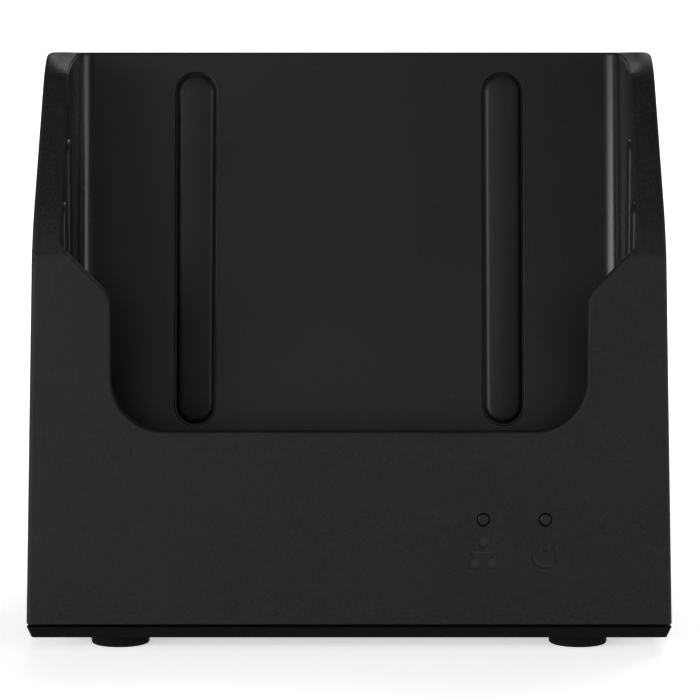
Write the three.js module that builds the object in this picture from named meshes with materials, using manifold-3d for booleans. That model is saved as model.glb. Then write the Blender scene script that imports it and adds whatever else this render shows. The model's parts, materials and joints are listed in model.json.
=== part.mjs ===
// Desktop charging and data cradle for a handset.
// Millimetres, +Z up. The front faces -Y and the feet stand on z = 0, with the origin under the
// middle of the cradle. The handset drops into a pocket that leans back, and spring contacts in the
// pocket's floor meet it. Every mesh is one separate physical piece.

import * as THREE from 'three';
import { mergeVertices } from 'three/addons/utils/BufferGeometryUtils.js';
import Module from 'manifold-3d';

const wasm = await Module();
wasm.setup();

const DEGREE = Math.PI / 180;

// ---------------------------------------------------------------- driving dimensions

// Overall
const WIDTH = 110; // at the seam between housing and tray
const DEPTH = 84;
const HEIGHT = 101.6;

// Fits
const FIT_GAP = 0.3; // between moulded shells
const REST_GAP = 0.1; // under a piece that rests on another
const PIN_GAP = 0.1; // around a screw, pin or plunger
const ARC_STEP = 15 * DEGREE; // facet size of the round stretches
const SAME_PLACE = 1e-6; // points closer than this are one point

// Upper housing
const WALL = 2;
const FRONT_WALL = 3.2;
const SIDE_DRAFT = 1.23 * DEGREE;
const FRONT_LEAN = 1.46 * DEGREE;
const CREASE_HEIGHT = 67.3; // where the front turns into the slope of the wings
const CREASE_LEAN = 18.5 * DEGREE; // from vertical, just above the crease
const CREASE_RADIUS = 1.2;
const BEND_RISE = 5.9; // from the crease to where the slope leans back further
const BEND_RADIUS = 40;
const SLOPE_LEAN = 31.6 * DEGREE; // from vertical, on the upper slope
const BROW_RADIUS = 12;
const TOP_REACH = 54; // rear end of the top, behind the front
const TOP_REAR_RADIUS = 6;
const KNEE_HEIGHT = 36; // where the rear slope turns into the upright jack panel
const KNEE_RADIUS = 10;
const FRONT_EDGE_RADIUS = 0.8;
const REAR_EDGE_RADIUS = 8;

// Cut-out in the front
const CUTOUT_BOTTOM = 37.4;
const CHEEK_WIDTH = 14.56; // front face left standing each side of the cut-out
const CUTOUT_CORNER_RADIUS = 9;
const SHOULDER_HEIGHT = 60.5; // where the upright edge turns outwards at 45 degrees
const SHOULDER_RADIUS = 4;

// Pocket liner
const LINER_WALL = 1.8;
const LINER_FLOOR = 2;
const POCKET_FLOOR = 30;
const POCKET_REACH = 32.8; // back of the pocket floor, behind the front
const BACK_LEAN = 10 * DEGREE;
const POCKET_FRONT_RADIUS = 2;
const POCKET_BACK_RADIUS = 2.6;
const LINER_LIP_DROP = 1.4; // liner front wall, below the cut-out

// Guide pads
const BACK_PAD_X = 27.85;
const BACK_PAD_WIDTH = 6.7;
const BACK_PAD_RISE = 1.2;
const BACK_PAD_TOP_MARGIN = 3.9;
const BACK_PAD_FLOOR_MARGIN = 4.9;
const PAD_BED = 0.8;
const PAD_GAP = 0.35;
const SIDE_PAD_WIDTH = 5;
const SIDE_PAD_RISE = 0.5;
const SIDE_PAD_FOOT = 46;
// Behind the front, and from the wing's sloping edge down to the pad's top.
const SIDE_PADS = { front: { reach: 10.8, drop: 8.9 }, rear: { reach: 19.3, drop: 11.6 } };

// Base tray and feet
const FOOT_RADIUS = 5;
const FOOT_STAND = 2.15;
const FOOT_SEAT = 0.5;
const FOOT_EDGE_RADIUS = 0.35;
const FOOT_SIDE_INSET = 15.5;
const FOOT_END_INSET = 7.75;
const TRAY_THICKNESS = 2;
const TRAY_BEVEL = 1;
const SEAM_GAP = 0.44;
const SPIGOT_HEIGHT = 2.6;
const SPIGOT_WALL = 1.4;
const LINER_POST_INSET = 25; // from each side
const LINER_POST_WIDTH = 2;
const LINER_POST_LENGTH = 14;

// Case screws
const CASE_SCREW = { shank: 1.4, head: 2.8, headHeight: 1.8, length: 12, recess: 1 };
const CASE_SCREW_SIDE_INSET = 8;
const CASE_SCREW_END_INSET = 18;
const CASE_BOSS_RADIUS = 3.2;
const CASE_BOSS_DROP = 3; // below the liner
const CASE_COLUMN_HEIGHT = 4;
const BOSS_RIB = 2;

// Indicator lights
const LIGHT_HEIGHT = 22.49;
const POWER_LIGHT_INSET = 21.66; // from the right-hand side
const LIGHT_PITCH = 10.53;
const PIPE_RADIUS = 0.96;
const PIPE_GAP = 0.19;
const PIPE_FLANGE_RADIUS = 2;
const PIPE_FLANGE = 1;
const PIPE_LENGTH = 6.9;
const LED = { width: 3.2, height: 2.8, depth: 1.2 };
const INDICATOR_BOARD = { width: 24, height: 20, thickness: 1.2 };
const GUIDE = { width: 3, length: 5, height: 14, grip: 1.2 };

// Main board and what it carries
const MAIN_BOARD = { sideClearance: 17, depth: 46, thickness: 1.6, cornerInset: 4 };
const BOARD_POST_HEIGHT = 4;
const BOARD_POST_RADIUS = 3;
const BOARD_SCREW = { shank: 1.2, head: 2.3, headHeight: 1.4, length: 4.5, recess: 0.8 };
const NETWORK_JACK = { x: -10, width: 16, depth: 21, height: 13.5, wall: 2 };
const NETWORK_PORT = { width: 11.9, height: 7, depth: 15, latchWidth: 6, latchHeight: 2 };
const CONTACT_FINGERS = 8;
const FINGER = { width: 0.5, pitch: 1.02, rise: 2.4, length: 7 };
const POWER_JACK = { x: 17, width: 9, depth: 14, height: 11, bore: 3.15, boreDepth: 9.5 };
const POWER_PIN = { radius: 1, root: 3, setBack: 0.6 };
const PANEL_WINDOW_MARGIN = 0.9;
const TRANSFORMER = { x: -10, reach: 29.8, width: 12, depth: 15, height: 5.5 };
const CONTROLLER = { x: 10, reach: 28, width: 14, depth: 14, height: 1.4 };
const CAPACITOR = { x: 30, reach: 14, radius: 4, height: 10 };
const INDUCTOR = { x: 30, reach: 26, width: 10, depth: 10, height: 4.5 };
const RIBBON_SOCKET = { width: 22, depth: 5, height: 4.5, frontInset: 3 };

// Spring contacts in the pocket floor
const CONTACT_COUNT = 8;
const CONTACT_PITCH = 3;
const CONTACT_REACH = 19; // behind the front
const PLUNGER = { radius: 0.75, flange: 1.15, flangeHeight: 1, tail: 0.55, tailLength: 2.4 };
const PLUNGER_STAND = 2.4; // above the block at rest
const SPRING = { inner: 0.7, outer: 1.1 };
const NOSE = { endMargin: 0.5, depth: 5.4, stand: 0.6 };
const BLOCK = { shoulder: 2, depth: 9, height: 6, drop: 4, step: 4 };
const EAR = { length: 5.5, height: 3 };
const BLOCK_SCREW = { shank: 1, head: 1.9, headHeight: 1.2, length: 6, recess: 0.7 };
const BLOCK_BOSS_RADIUS = 2.4;
const CONTACT_BOARD = { inset: 0.5, depth: 8.4, thickness: 1.6 };
const RIBBON = { width: 20, thickness: 0.6, bend: 3 };
const INDICATOR_RIBBON = { width: 6, thickness: 0.6, bend: 2.5 };

// ---------------------------------------------------------------- places worked out from them

const fromFront = (reach) => reach - DEPTH / 2;
const fromRear = (reach) => DEPTH / 2 - reach;
const trayTop = FOOT_STAND + TRAY_THICKNESS;
const housingBottom = trayTop + SEAM_GAP;
const boardBottom = trayTop + BOARD_POST_HEIGHT + REST_GAP;
const boardTop = boardBottom + MAIN_BOARD.thickness;
const partsBase = boardTop + REST_GAP;
const boardRear = DEPTH / 2 - WALL - 2 * FIT_GAP;
const boardFront = boardRear - MAIN_BOARD.depth;
const boardHalf = WIDTH / 2 - MAIN_BOARD.sideClearance;
const linerBottom = POCKET_FLOOR - LINER_FLOOR;
const halfWidthAt = (z) => WIDTH / 2 - (z - housingBottom) * Math.tan(SIDE_DRAFT);
const frontAt = (z) => fromFront((z - housingBottom) * Math.tan(FRONT_LEAN));
const pocketHalf = halfWidthAt(HEIGHT) - WALL - FIT_GAP - LINER_WALL;
const pocketFront = frontAt(CUTOUT_BOTTOM) + FRONT_WALL + FIT_GAP + LINER_WALL;
const pocketBackAt = (z) => fromFront(POCKET_REACH) + (z - POCKET_FLOOR) * Math.tan(BACK_LEAN);
const caseBossTop = linerBottom - CASE_BOSS_DROP;
const contactY = fromFront(CONTACT_REACH);
const noseWidth = CONTACT_COUNT * CONTACT_PITCH + 2 * NOSE.endMargin;
const blockWidth = noseWidth + 2 * BLOCK.shoulder;
const noseTop = POCKET_FLOOR + NOSE.stand;
const blockTop = linerBottom - BLOCK.drop;
const blockBottom = blockTop - BLOCK.height;
const flangeTop = noseTop - BLOCK.step;
const panelInner = DEPTH / 2 - WALL;
const jackMouth = panelInner - FIT_GAP;

// ---------------------------------------------------------------- shape helpers

// A closed geometry as a solid that can be joined and cut.
function solid(geometry) {
  const bare = geometry.clone();
  bare.deleteAttribute('normal');
  bare.deleteAttribute('uv');
  const merged = mergeVertices(bare, 1e-4);
  const index = merged.index.array;
  const triangles = [];
  for (let i = 0; i < index.length; i += 3) {
    const [a, b, c] = index.slice(i, i + 3);
    if (a !== b && b !== c && c !== a) triangles.push(a, b, c);
  }
  return new wasm.Manifold(new wasm.Mesh({
    numProp: 3,
    vertProperties: new Float32Array(merged.attributes.position.array),
    triVerts: new Uint32Array(triangles),
  }));
}

function geometryOf(body) {
  const mesh = body.getMesh();
  const geometry = new THREE.BufferGeometry();
  geometry.setAttribute('position', new THREE.BufferAttribute(mesh.vertProperties, mesh.numProp));
  geometry.setIndex(new THREE.BufferAttribute(mesh.triVerts, 1));
  geometry.computeVertexNormals();
  return geometry;
}

const joined = (first, ...others) => others.reduce((body, other) => body.add(other), first);
const cut = (first, ...others) => others.reduce((body, other) => body.subtract(other), first);

// An outline from corners [u, v, radius], with each corner's arc in short steps. A radius is
// limited by the length of the edges beside it.
function rounded(corners) {
  return corners.flatMap(([u, v, radius = 0], i) => {
    const here = new THREE.Vector2(u, v);
    if (radius === 0) return [here];
    const [beforeU, beforeV] = corners.at(i - 1);
    const [afterU, afterV] = corners[(i + 1) % corners.length];
    const before = new THREE.Vector2(beforeU, beforeV).sub(here);
    const after = new THREE.Vector2(afterU, afterV).sub(here);
    const room = 0.49 * Math.min(before.length(), after.length());
    before.normalize();
    after.normalize();
    const halfAngle = Math.acos(THREE.MathUtils.clamp(before.dot(after), -1, 1)) / 2;
    const reach = Math.min(radius / Math.tan(halfAngle), room);
    const arcRadius = reach * Math.tan(halfAngle);
    const middle = before.clone().add(after).normalize();
    const centre = here.clone().addScaledVector(middle, arcRadius / Math.sin(halfAngle));
    const start = here.clone().addScaledVector(before, reach).sub(centre);
    const side = Math.sign(after.cross(before));
    const turn = side * (Math.PI - 2 * halfAngle);
    const steps = Math.max(2, Math.ceil(Math.abs(turn) / ARC_STEP));
    return Array.from({ length: steps + 1 }, (_, step) => start.clone()
      .rotateAround(new THREE.Vector2(), (turn * step) / steps).add(centre));
  });
}

// An upright pill: a rectangle whose two ends are half circles.
function pill(middle, low, high, width) {
  const [left, right, radius] = [middle - width / 2, middle + width / 2, width * 0.4999];
  return rounded([[left, low, radius], [right, low, radius], [right, high, radius],
    [left, high, radius]]);
}

function extruded(outline, length) {
  return new THREE.ExtrudeGeometry(new THREE.Shape(outline), {
    depth: length, bevelEnabled: false, steps: 1,
  });
}

function frameMatrix(xAxis, yAxis, origin) {
  const [right, up] = [new THREE.Vector3(...xAxis), new THREE.Vector3(...yAxis)];
  return new THREE.Matrix4().makeBasis(right, up, right.clone().cross(up)).setPosition(...origin);
}

// Outlines in (y, z) extruded along X, in (x, z) extruded along Y, and in (x, y) extruded along Z.
const alongX = (outline, x0, x1) => solid(extruded(outline, x1 - x0)
  .applyMatrix4(frameMatrix([0, 1, 0], [0, 0, 1], [x0, 0, 0])));
const alongY = (outline, y0, y1) => solid(extruded(outline, y1 - y0)
  .applyMatrix4(frameMatrix([1, 0, 0], [0, 0, 1], [0, y1, 0])));
const alongZ = (outline, z0, z1) => solid(extruded(outline, z1 - z0).translate(0, 0, z0));

function block([x0, x1], [y0, y1], [z0, z1]) {
  return solid(new THREE.BoxGeometry(x1 - x0, y1 - y0, z1 - z0)
    .translate((x0 + x1) / 2, (y0 + y1) / 2, (z0 + z1) / 2));
}

const about = (middle, size) => [middle - size / 2, middle + size / 2];

// A profile of [radius, height] points, from the bottom to the top, turned about an upright axis.
function turned(profile, segments = 20) {
  const points = profile.map(([radius, height]) => new THREE.Vector2(radius, height));
  return new THREE.LatheGeometry(points, segments).rotateX(Math.PI / 2);
}

function cylinder(x, y, [z0, z1], radius, segments = 20) {
  return solid(turned([[0, z0], [radius, z0], [radius, z1], [0, z1]], segments)
    .translate(x, y, 0));
}

// The same, lying along Y.
function cylinderAlongY(x, z, [y0, y1], radius, segments = 20) {
  return solid(new THREE.CylinderGeometry(radius, radius, y1 - y0, segments)
    .translate(x, (y0 + y1) / 2, z));
}

// A stack of level sections joined into one body. Each section is a rectangle with rounded
// corners: { z, half, front, rear, frontRadius, rearRadius }.
function loft(levels) {
  const unit = rounded([[-2, -2, 1], [2, -2, 1], [2, 2, 1], [-2, 2, 1]]);
  const geometry = new THREE.ExtrudeGeometry(new THREE.Shape(unit), {
    depth: levels.length - 1, steps: levels.length - 1, bevelEnabled: false,
  });
  const position = geometry.attributes.position;
  for (let i = 0; i < position.count; i += 1) {
    const level = levels[Math.round(position.getZ(i))];
    const [u, v] = [position.getX(i), position.getY(i)];
    const radius = v > 0 ? level.rearRadius : level.frontRadius;
    const x = Math.sign(u) * (level.half + (Math.abs(u) - 2) * radius);
    const y = v > 0 ? level.rear + (v - 2) * radius : level.front + (v + 2) * radius;
    position.setXYZ(i, x, y, level.z);
  }
  return solid(geometry);
}

// ---------------------------------------------------------------- the housing's side profile

const creaseReach = (CREASE_HEIGHT - housingBottom) * Math.tan(FRONT_LEAN);
const bendHeight = CREASE_HEIGHT + BEND_RISE;
const bendReach = creaseReach + BEND_RISE * Math.tan(CREASE_LEAN);
const browReach = bendReach + (HEIGHT - bendHeight) * Math.tan(SLOPE_LEAN);

// Corners [y, z, radius, wall along the edge that follows], anticlockwise.
const SIDE_CORNERS = [
  [fromFront(0), housingBottom, 0, 'bottom'],
  [DEPTH / 2, housingBottom, 0, 'rear'],
  [DEPTH / 2, KNEE_HEIGHT, KNEE_RADIUS, 'rear'],
  [fromFront(TOP_REACH), HEIGHT, TOP_REAR_RADIUS, 'rear'],
  [fromFront(browReach), HEIGHT, BROW_RADIUS, 'rear'],
  [fromFront(bendReach), bendHeight, BEND_RADIUS, 'rear'],
  [fromFront(creaseReach), CREASE_HEIGHT, CREASE_RADIUS, 'front'],
];

// The profile with every edge moved inwards by its own inset.
function sideOutline(insets) {
  const count = SIDE_CORNERS.length;
  const edges = SIDE_CORNERS.map(([y, z, , name], i) => {
    const [nextY, nextZ] = SIDE_CORNERS[(i + 1) % count];
    const direction = new THREE.Vector2(nextY - y, nextZ - z).normalize();
    const inwards = new THREE.Vector2(-direction.y, direction.x);
    return { from: new THREE.Vector2(y, z).addScaledVector(inwards, insets[name]), direction };
  });
  return rounded(SIDE_CORNERS.map(([, , radius], i) => {
    const [before, after] = [edges.at(i - 1), edges[i]];
    const across = after.from.clone().sub(before.from);
    const along = across.cross(after.direction) / before.direction.cross(after.direction);
    const corner = before.from.clone().addScaledVector(before.direction, along);
    const inset = insets[SIDE_CORNERS[i][3]];
    return [corner.x, corner.y, radius === 0 ? 0 : Math.max(radius - inset, 0.5)];
  }));
}

// Frontmost and rearmost y of an outline at height z.
function spanAt(outline, z) {
  const hits = outline.flatMap((a, i) => {
    const b = outline[(i + 1) % outline.length];
    if (Math.min(a.y, b.y) > z + SAME_PLACE || Math.max(a.y, b.y) < z - SAME_PLACE) return [];
    if (Math.abs(b.y - a.y) < SAME_PLACE) return [a.x, b.x];
    return [a.x + (b.x - a.x) * THREE.MathUtils.clamp((z - a.y) / (b.y - a.y), 0, 1)];
  });
  return [Math.min(...hits), Math.max(...hits)];
}

// The housing's outer body, or the same body inside it by the given insets.
function housingBody({ side, front, rear, bottom }) {
  const outline = sideOutline({ front, rear, bottom });
  const heights = outline.map((point) => point.y).sort((a, b) => a - b)
    .filter((z, i, all) => i === 0 || z - all[i - 1] > 0.02);
  return loft(heights.map((z) => {
    const [yFront, yRear] = spanAt(outline, z);
    return {
      z,
      half: halfWidthAt(z) - side,
      front: yFront,
      rear: yRear,
      frontRadius: Math.max(FRONT_EDGE_RADIUS - side, 0.4),
      rearRadius: REAR_EDGE_RADIUS - side,
    };
  }));
}

// Height of the housing's outer surface over the wing at y.
function wingHeightAt(y) {
  const outline = sideOutline({ front: 0, rear: 0, bottom: 0 });
  const hits = outline.flatMap((a, i) => {
    const b = outline[(i + 1) % outline.length];
    if (a.x === b.x || (a.x - y) * (b.x - y) > 0) return [];
    return [a.y + ((b.y - a.y) * (y - a.x)) / (b.x - a.x)];
  });
  return Math.max(...hits);
}

// The pocket's inside, or its outside when grown by the liner's wall.
function pocketBody(grow, floor, top) {
  return loft([floor, top].map((z) => ({
    z,
    half: pocketHalf + grow,
    front: pocketFront - grow,
    rear: pocketBackAt(z) + grow / Math.cos(BACK_LEAN),
    frontRadius: POCKET_FRONT_RADIUS + grow,
    rearRadius: POCKET_BACK_RADIUS + grow,
  })));
}

// ---------------------------------------------------------------- shared places

const mirrored = (x) => [{ side: 'left', x: -x }, { side: 'right', x }];
const ends = (inset) => [{ end: 'front', y: fromFront(inset) }, { end: 'rear', y: fromRear(inset) }];
const corners = (x, inset) => mirrored(x).flatMap((s) => ends(inset).map((e) => ({ ...s, ...e })));

const feetPlaces = corners(WIDTH / 2 - FOOT_SIDE_INSET, FOOT_END_INSET);
const caseScrewPlaces = corners(WIDTH / 2 - CASE_SCREW_SIDE_INSET, CASE_SCREW_END_INSET);
const boardScrewPlaces = mirrored(boardHalf - MAIN_BOARD.cornerInset).flatMap((s) => [
  { ...s, end: 'front', y: boardFront + MAIN_BOARD.cornerInset },
  { ...s, end: 'rear', y: boardRear - MAIN_BOARD.cornerInset },
]);
const blockScrewPlaces = mirrored((blockWidth + EAR.length) / 2);
const contactPlaces = Array.from({ length: CONTACT_COUNT }, (_, i) => ({
  number: i + 1, x: (i - (CONTACT_COUNT - 1) / 2) * CONTACT_PITCH,
}));
const lightPlaces = {
  power: WIDTH / 2 - POWER_LIGHT_INSET,
  network: WIDTH / 2 - POWER_LIGHT_INSET - LIGHT_PITCH,
};
const lightMiddle = (lightPlaces.power + lightPlaces.network) / 2;
const pipeFront = frontAt(LIGHT_HEIGHT) + 0.05;
const pipeRear = pipeFront + PIPE_LENGTH;
const ledRear = pipeRear + REST_GAP + LED.depth;
const indicatorFront = ledRear + REST_GAP;
const indicatorRear = indicatorFront + INDICATOR_BOARD.thickness;
const indicatorBottom = trayTop + 2;
const portMiddle = partsBase + NETWORK_JACK.height / 2;
const boreMiddle = partsBase + POWER_JACK.height / 2 + 0.5;
const caseScrewSeat = trayTop + CASE_COLUMN_HEIGHT - 3;

// ---------------------------------------------------------------- mouldings

function upperHousing() {
  const outer = housingBody({ side: 0, front: 0, rear: 0, bottom: 0 });
  const hollow = housingBody({ side: WALL, front: FRONT_WALL, rear: WALL, bottom: -2 * WALL });
  const cheek = WIDTH / 2 - CHEEK_WIDTH;
  const rimHeight = SHOULDER_HEIGHT + pocketHalf - cheek;
  const aboveTop = HEIGHT + 10;
  const cutout = alongY(rounded([
    [-cheek, CUTOUT_BOTTOM, CUTOUT_CORNER_RADIUS], [cheek, CUTOUT_BOTTOM, CUTOUT_CORNER_RADIUS],
    [cheek, SHOULDER_HEIGHT, SHOULDER_RADIUS], [pocketHalf, rimHeight, SHOULDER_RADIUS],
    [pocketHalf, aboveTop], [-pocketHalf, aboveTop],
    [-pocketHalf, rimHeight, SHOULDER_RADIUS], [-cheek, SHOULDER_HEIGHT, SHOULDER_RADIUS],
  ]), fromFront(-5), pocketFront + 2 * POCKET_FRONT_RADIUS);
  const mouth = pocketBody(0, POCKET_FLOOR, aboveTop);
  const lightHoles = Object.values(lightPlaces).map((x) => cylinderAlongY(x, LIGHT_HEIGHT,
    [fromFront(-5), frontAt(LIGHT_HEIGHT) + 2 * FRONT_WALL], PIPE_RADIUS + PIPE_GAP));
  const portWindow = block(about(NETWORK_JACK.x, NETWORK_PORT.width + 2 * PANEL_WINDOW_MARGIN),
    [jackMouth, DEPTH / 2 + 5],
    about(portMiddle, NETWORK_PORT.height + 2 * NETWORK_PORT.latchHeight));
  const plugWindow = cylinderAlongY(POWER_JACK.x, boreMiddle, [jackMouth, DEPTH / 2 + 5],
    POWER_JACK.bore + 2 * PANEL_WINDOW_MARGIN, 28);
  const bossBottom = trayTop + CASE_COLUMN_HEIGHT + FIT_GAP;
  const bosses = caseScrewPlaces.map(({ x, y }) => {
    const wallSide = Math.sign(x) * halfWidthAt(bossBottom);
    const column = cylinder(x, y, [bossBottom, caseBossTop], CASE_BOSS_RADIUS, 16);
    const rib = block([Math.min(x, wallSide), Math.max(x, wallSide)], about(y, BOSS_RIB),
      [bossBottom, caseBossTop]);
    const pilotTop = caseScrewSeat + CASE_SCREW.length + 1;
    return cut(column.add(rib), cylinder(x, y, [0, pilotTop], CASE_SCREW.shank + PIN_GAP, 16));
  });
  const shell = joined(cut(outer, hollow), ...bosses.map((boss) => boss.intersect(outer)));
  return cut(shell, cutout, mouth, ...lightHoles, portWindow, plugWindow);
}

const padBack = frameMatrix([1, 0, 0], [0, Math.sin(BACK_LEAN), Math.cos(BACK_LEAN)],
  [0, fromFront(POCKET_REACH), POCKET_FLOOR]);
const backPadLow = BACK_PAD_FLOOR_MARGIN / Math.cos(BACK_LEAN);
const backPadHigh = (HEIGHT - BACK_PAD_TOP_MARGIN - POCKET_FLOOR) / Math.cos(BACK_LEAN);

// A pill on the leaning back wall, from one depth to another, measured into the pocket.
function backPill(x, grow, from, to) {
  const outline = pill(x, backPadLow - grow, backPadHigh + grow, BACK_PAD_WIDTH + 2 * grow);
  return solid(extruded(outline, to - from).translate(0, 0, from).applyMatrix4(padBack));
}

// A pill on a side wall, from one distance inside the wall's face to another.
function sidePill(side, { reach, drop }, grow, from, to) {
  const y = fromFront(reach);
  const outline = pill(y, SIDE_PAD_FOOT - grow, wingHeightAt(y) - drop + grow,
    SIDE_PAD_WIDTH + 2 * grow);
  const [x0, x1] = [side * (pocketHalf - from), side * (pocketHalf - to)];
  return alongX(outline, Math.min(x0, x1), Math.max(x0, x1));
}

const sidePadPlaces = mirrored(1).flatMap(({ side, x }) => Object.entries(SIDE_PADS)
  .map(([end, pad]) => ({ name: `side_pad_${side}_${end}`, x, pad })));

function pocketLiner() {
  const room = housingBody({
    side: WALL + FIT_GAP,
    front: FRONT_WALL + FIT_GAP,
    rear: WALL + FIT_GAP,
    bottom: -2 * WALL,
  });
  const outside = pocketBody(LINER_WALL, linerBottom, HEIGHT).intersect(room);
  const lip = CUTOUT_BOTTOM - LINER_LIP_DROP;
  const window = block([-pocketHalf, pocketHalf], [fromFront(0), pocketFront + LINER_WALL],
    [lip, HEIGHT]);
  const noseSlot = block(about(0, noseWidth + 2 * FIT_GAP), about(contactY, NOSE.depth + 2 * FIT_GAP),
    [linerBottom - 1, POCKET_FLOOR + 1]);
  const bosses = blockScrewPlaces.map(({ x }) => cylinder(x, contactY,
    [blockTop + REST_GAP, POCKET_FLOOR - LINER_FLOOR / 2], BLOCK_BOSS_RADIUS, 16));
  const pilots = blockScrewPlaces.map(({ x }) => cylinder(x, contactY,
    [blockTop - 1, POCKET_FLOOR - LINER_FLOOR / 2], BLOCK_SCREW.shank + PIN_GAP, 16));
  const beds = [
    ...mirrored(BACK_PAD_X).map(({ x }) => backPill(x, PAD_GAP, -PAD_BED, 1)),
    ...sidePadPlaces.map(({ x, pad }) => sidePill(x, pad, PAD_GAP, -PAD_BED, 1)),
  ];
  const tub = cut(outside, pocketBody(0, POCKET_FLOOR, HEIGHT + 10), window);
  return cut(joined(tub, ...bosses), noseSlot, ...pilots, ...beds);
}

// The posts that hold up the liner, grown all round to cut clearance for them.
function linerPosts(grow) {
  return mirrored(WIDTH / 2 - LINER_POST_INSET).map(({ x }) => block(about(x, LINER_POST_WIDTH + 2 * grow),
    about(contactY, LINER_POST_LENGTH + 2 * grow), [FOOT_STAND + 1, linerBottom - FIT_GAP]));
}

function baseTray() {
  const level = (z, inset) => ({
    z,
    half: WIDTH / 2 - inset,
    front: fromFront(inset),
    rear: fromRear(inset),
    frontRadius: FRONT_EDGE_RADIUS,
    rearRadius: REAR_EDGE_RADIUS - inset,
  });
  const plate = loft([level(FOOT_STAND, TRAY_BEVEL), level(trayTop, 0)]);
  const spigotInset = FRONT_WALL + FIT_GAP;
  const spigotLevel = (z, inset) => ({
    z,
    half: WIDTH / 2 - WALL - FIT_GAP - inset,
    front: fromFront(spigotInset + inset),
    rear: fromRear(WALL + FIT_GAP + inset),
    frontRadius: FRONT_EDGE_RADIUS,
    rearRadius: REAR_EDGE_RADIUS - WALL - FIT_GAP - inset,
  });
  const spigotTop = trayTop + SPIGOT_HEIGHT;
  const spigot = cut(loft([spigotLevel(FOOT_STAND + 1, 0), spigotLevel(spigotTop, 0)]),
    loft([spigotLevel(trayTop, SPIGOT_WALL), spigotLevel(spigotTop + 1, SPIGOT_WALL)]));
  const columns = caseScrewPlaces.map(({ x, y }) => cylinder(x, y,
    [FOOT_STAND + 1, trayTop + CASE_COLUMN_HEIGHT], CASE_SCREW.head + 1.4, 20));
  const boardPosts = boardScrewPlaces.map(({ x, y }) => cylinder(x, y,
    [FOOT_STAND + 1, trayTop + BOARD_POST_HEIGHT], BOARD_POST_RADIUS, 16));
  const guides = [-1, 1].map((side) => {
    const edge = lightMiddle + (side * INDICATOR_BOARD.width) / 2;
    const middle = edge + side * (GUIDE.width / 2 - GUIDE.grip);
    return block(about(middle, GUIDE.width), about((indicatorFront + indicatorRear) / 2, GUIDE.length),
      [FOOT_STAND + 1, trayTop + GUIDE.height]);
  });
  const cardSlot = block(about(lightMiddle, INDICATOR_BOARD.width + 2 * FIT_GAP),
    [indicatorFront - FIT_GAP, indicatorRear + FIT_GAP], [indicatorBottom - REST_GAP, HEIGHT]);
  const footBeds = feetPlaces.map(({ x, y }) => cylinder(x, y,
    [0, FOOT_STAND + FOOT_SEAT + REST_GAP], FOOT_RADIUS + REST_GAP, 32));
  const counterbores = caseScrewPlaces.map(({ x, y }) => joined(
    cylinder(x, y, [0, caseScrewSeat], CASE_SCREW.head + FIT_GAP, 20),
    cylinder(x, y, [0, HEIGHT], CASE_SCREW.shank + PIN_GAP, 16),
  ));
  const pilots = boardScrewPlaces.map(({ x, y }) => cylinder(x, y,
    [trayTop - 1, HEIGHT], BOARD_SCREW.shank + PIN_GAP, 16));
  const whole = joined(plate, spigot, ...columns, ...boardPosts, ...linerPosts(0), ...guides);
  return cut(whole, cardSlot, ...footBeds, ...counterbores, ...pilots);
}

// A rubber foot, with a small round at the edge it stands on.
function foot() {
  const arc = [0, 1, 2].map((step) => {
    const angle = (step * Math.PI) / 4;
    return [FOOT_RADIUS - FOOT_EDGE_RADIUS * (1 - Math.sin(angle)),
      FOOT_EDGE_RADIUS * (1 - Math.cos(angle))];
  });
  return turned([[0, 0], ...arc, [FOOT_RADIUS, FOOT_STAND + FOOT_SEAT],
    [0, FOOT_STAND + FOOT_SEAT]], 32);
}

// ---------------------------------------------------------------- fasteners

// A cross-recess screw, its head below the origin and its shank above.
function screw({ shank, head, headHeight, length, recess }) {
  const body = solid(turned([[0, -headHeight], [head * 0.8, -headHeight],
    [head, -headHeight * 0.6], [head, 0], [shank, 0], [shank, length - shank], [shank * 0.3, length],
    [0, length]], 16));
  const slotLength = head * 1.1;
  const slotWidth = head * 0.28;
  const depth = [-headHeight - 1, recess - headHeight];
  return cut(body, block(about(0, slotLength), about(0, slotWidth), depth),
    block(about(0, slotWidth), about(0, slotLength), depth));
}

// ---------------------------------------------------------------- indicator lights

function lightPipe(x) {
  const flangeFront = frontAt(LIGHT_HEIGHT) + FRONT_WALL / Math.cos(FRONT_LEAN) + FIT_GAP;
  return joined(cylinderAlongY(x, LIGHT_HEIGHT, [pipeFront, pipeRear], PIPE_RADIUS),
    cylinderAlongY(x, LIGHT_HEIGHT, [flangeFront, flangeFront + PIPE_FLANGE], PIPE_FLANGE_RADIUS));
}

function led(x) {
  return block(about(x, LED.width), [ledRear - LED.depth, ledRear], about(LIGHT_HEIGHT, LED.height));
}

function indicatorBoard() {
  return block(about(lightMiddle, INDICATOR_BOARD.width), [indicatorFront, indicatorRear],
    [indicatorBottom, indicatorBottom + INDICATOR_BOARD.height]);
}

// A flat ribbon cable, [y, z] points on its lower side, in one even thickness.
function ribbon(x, { width, thickness, bend }, route) {
  const outer = route.map(([y, z], i) => {
    const [previous, next] = [route[Math.max(i - 1, 0)], route[Math.min(i + 1, route.length - 1)]];
    const rising = new THREE.Vector2(next[0] - previous[0], next[1] - previous[1]).normalize();
    return [y - rising.y * thickness, z + rising.x * thickness];
  });
  const radiusAt = (i) => (i === 0 || i === route.length - 1 ? 0 : bend);
  const outline = rounded([
    ...route.map(([y, z], i) => [y, z, radiusAt(i)]),
    ...outer.map(([y, z], i) => [y, z, radiusAt(i)]).reverse(),
  ]);
  return alongX(outline, x - width / 2, x + width / 2);
}

// ---------------------------------------------------------------- main board

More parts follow.
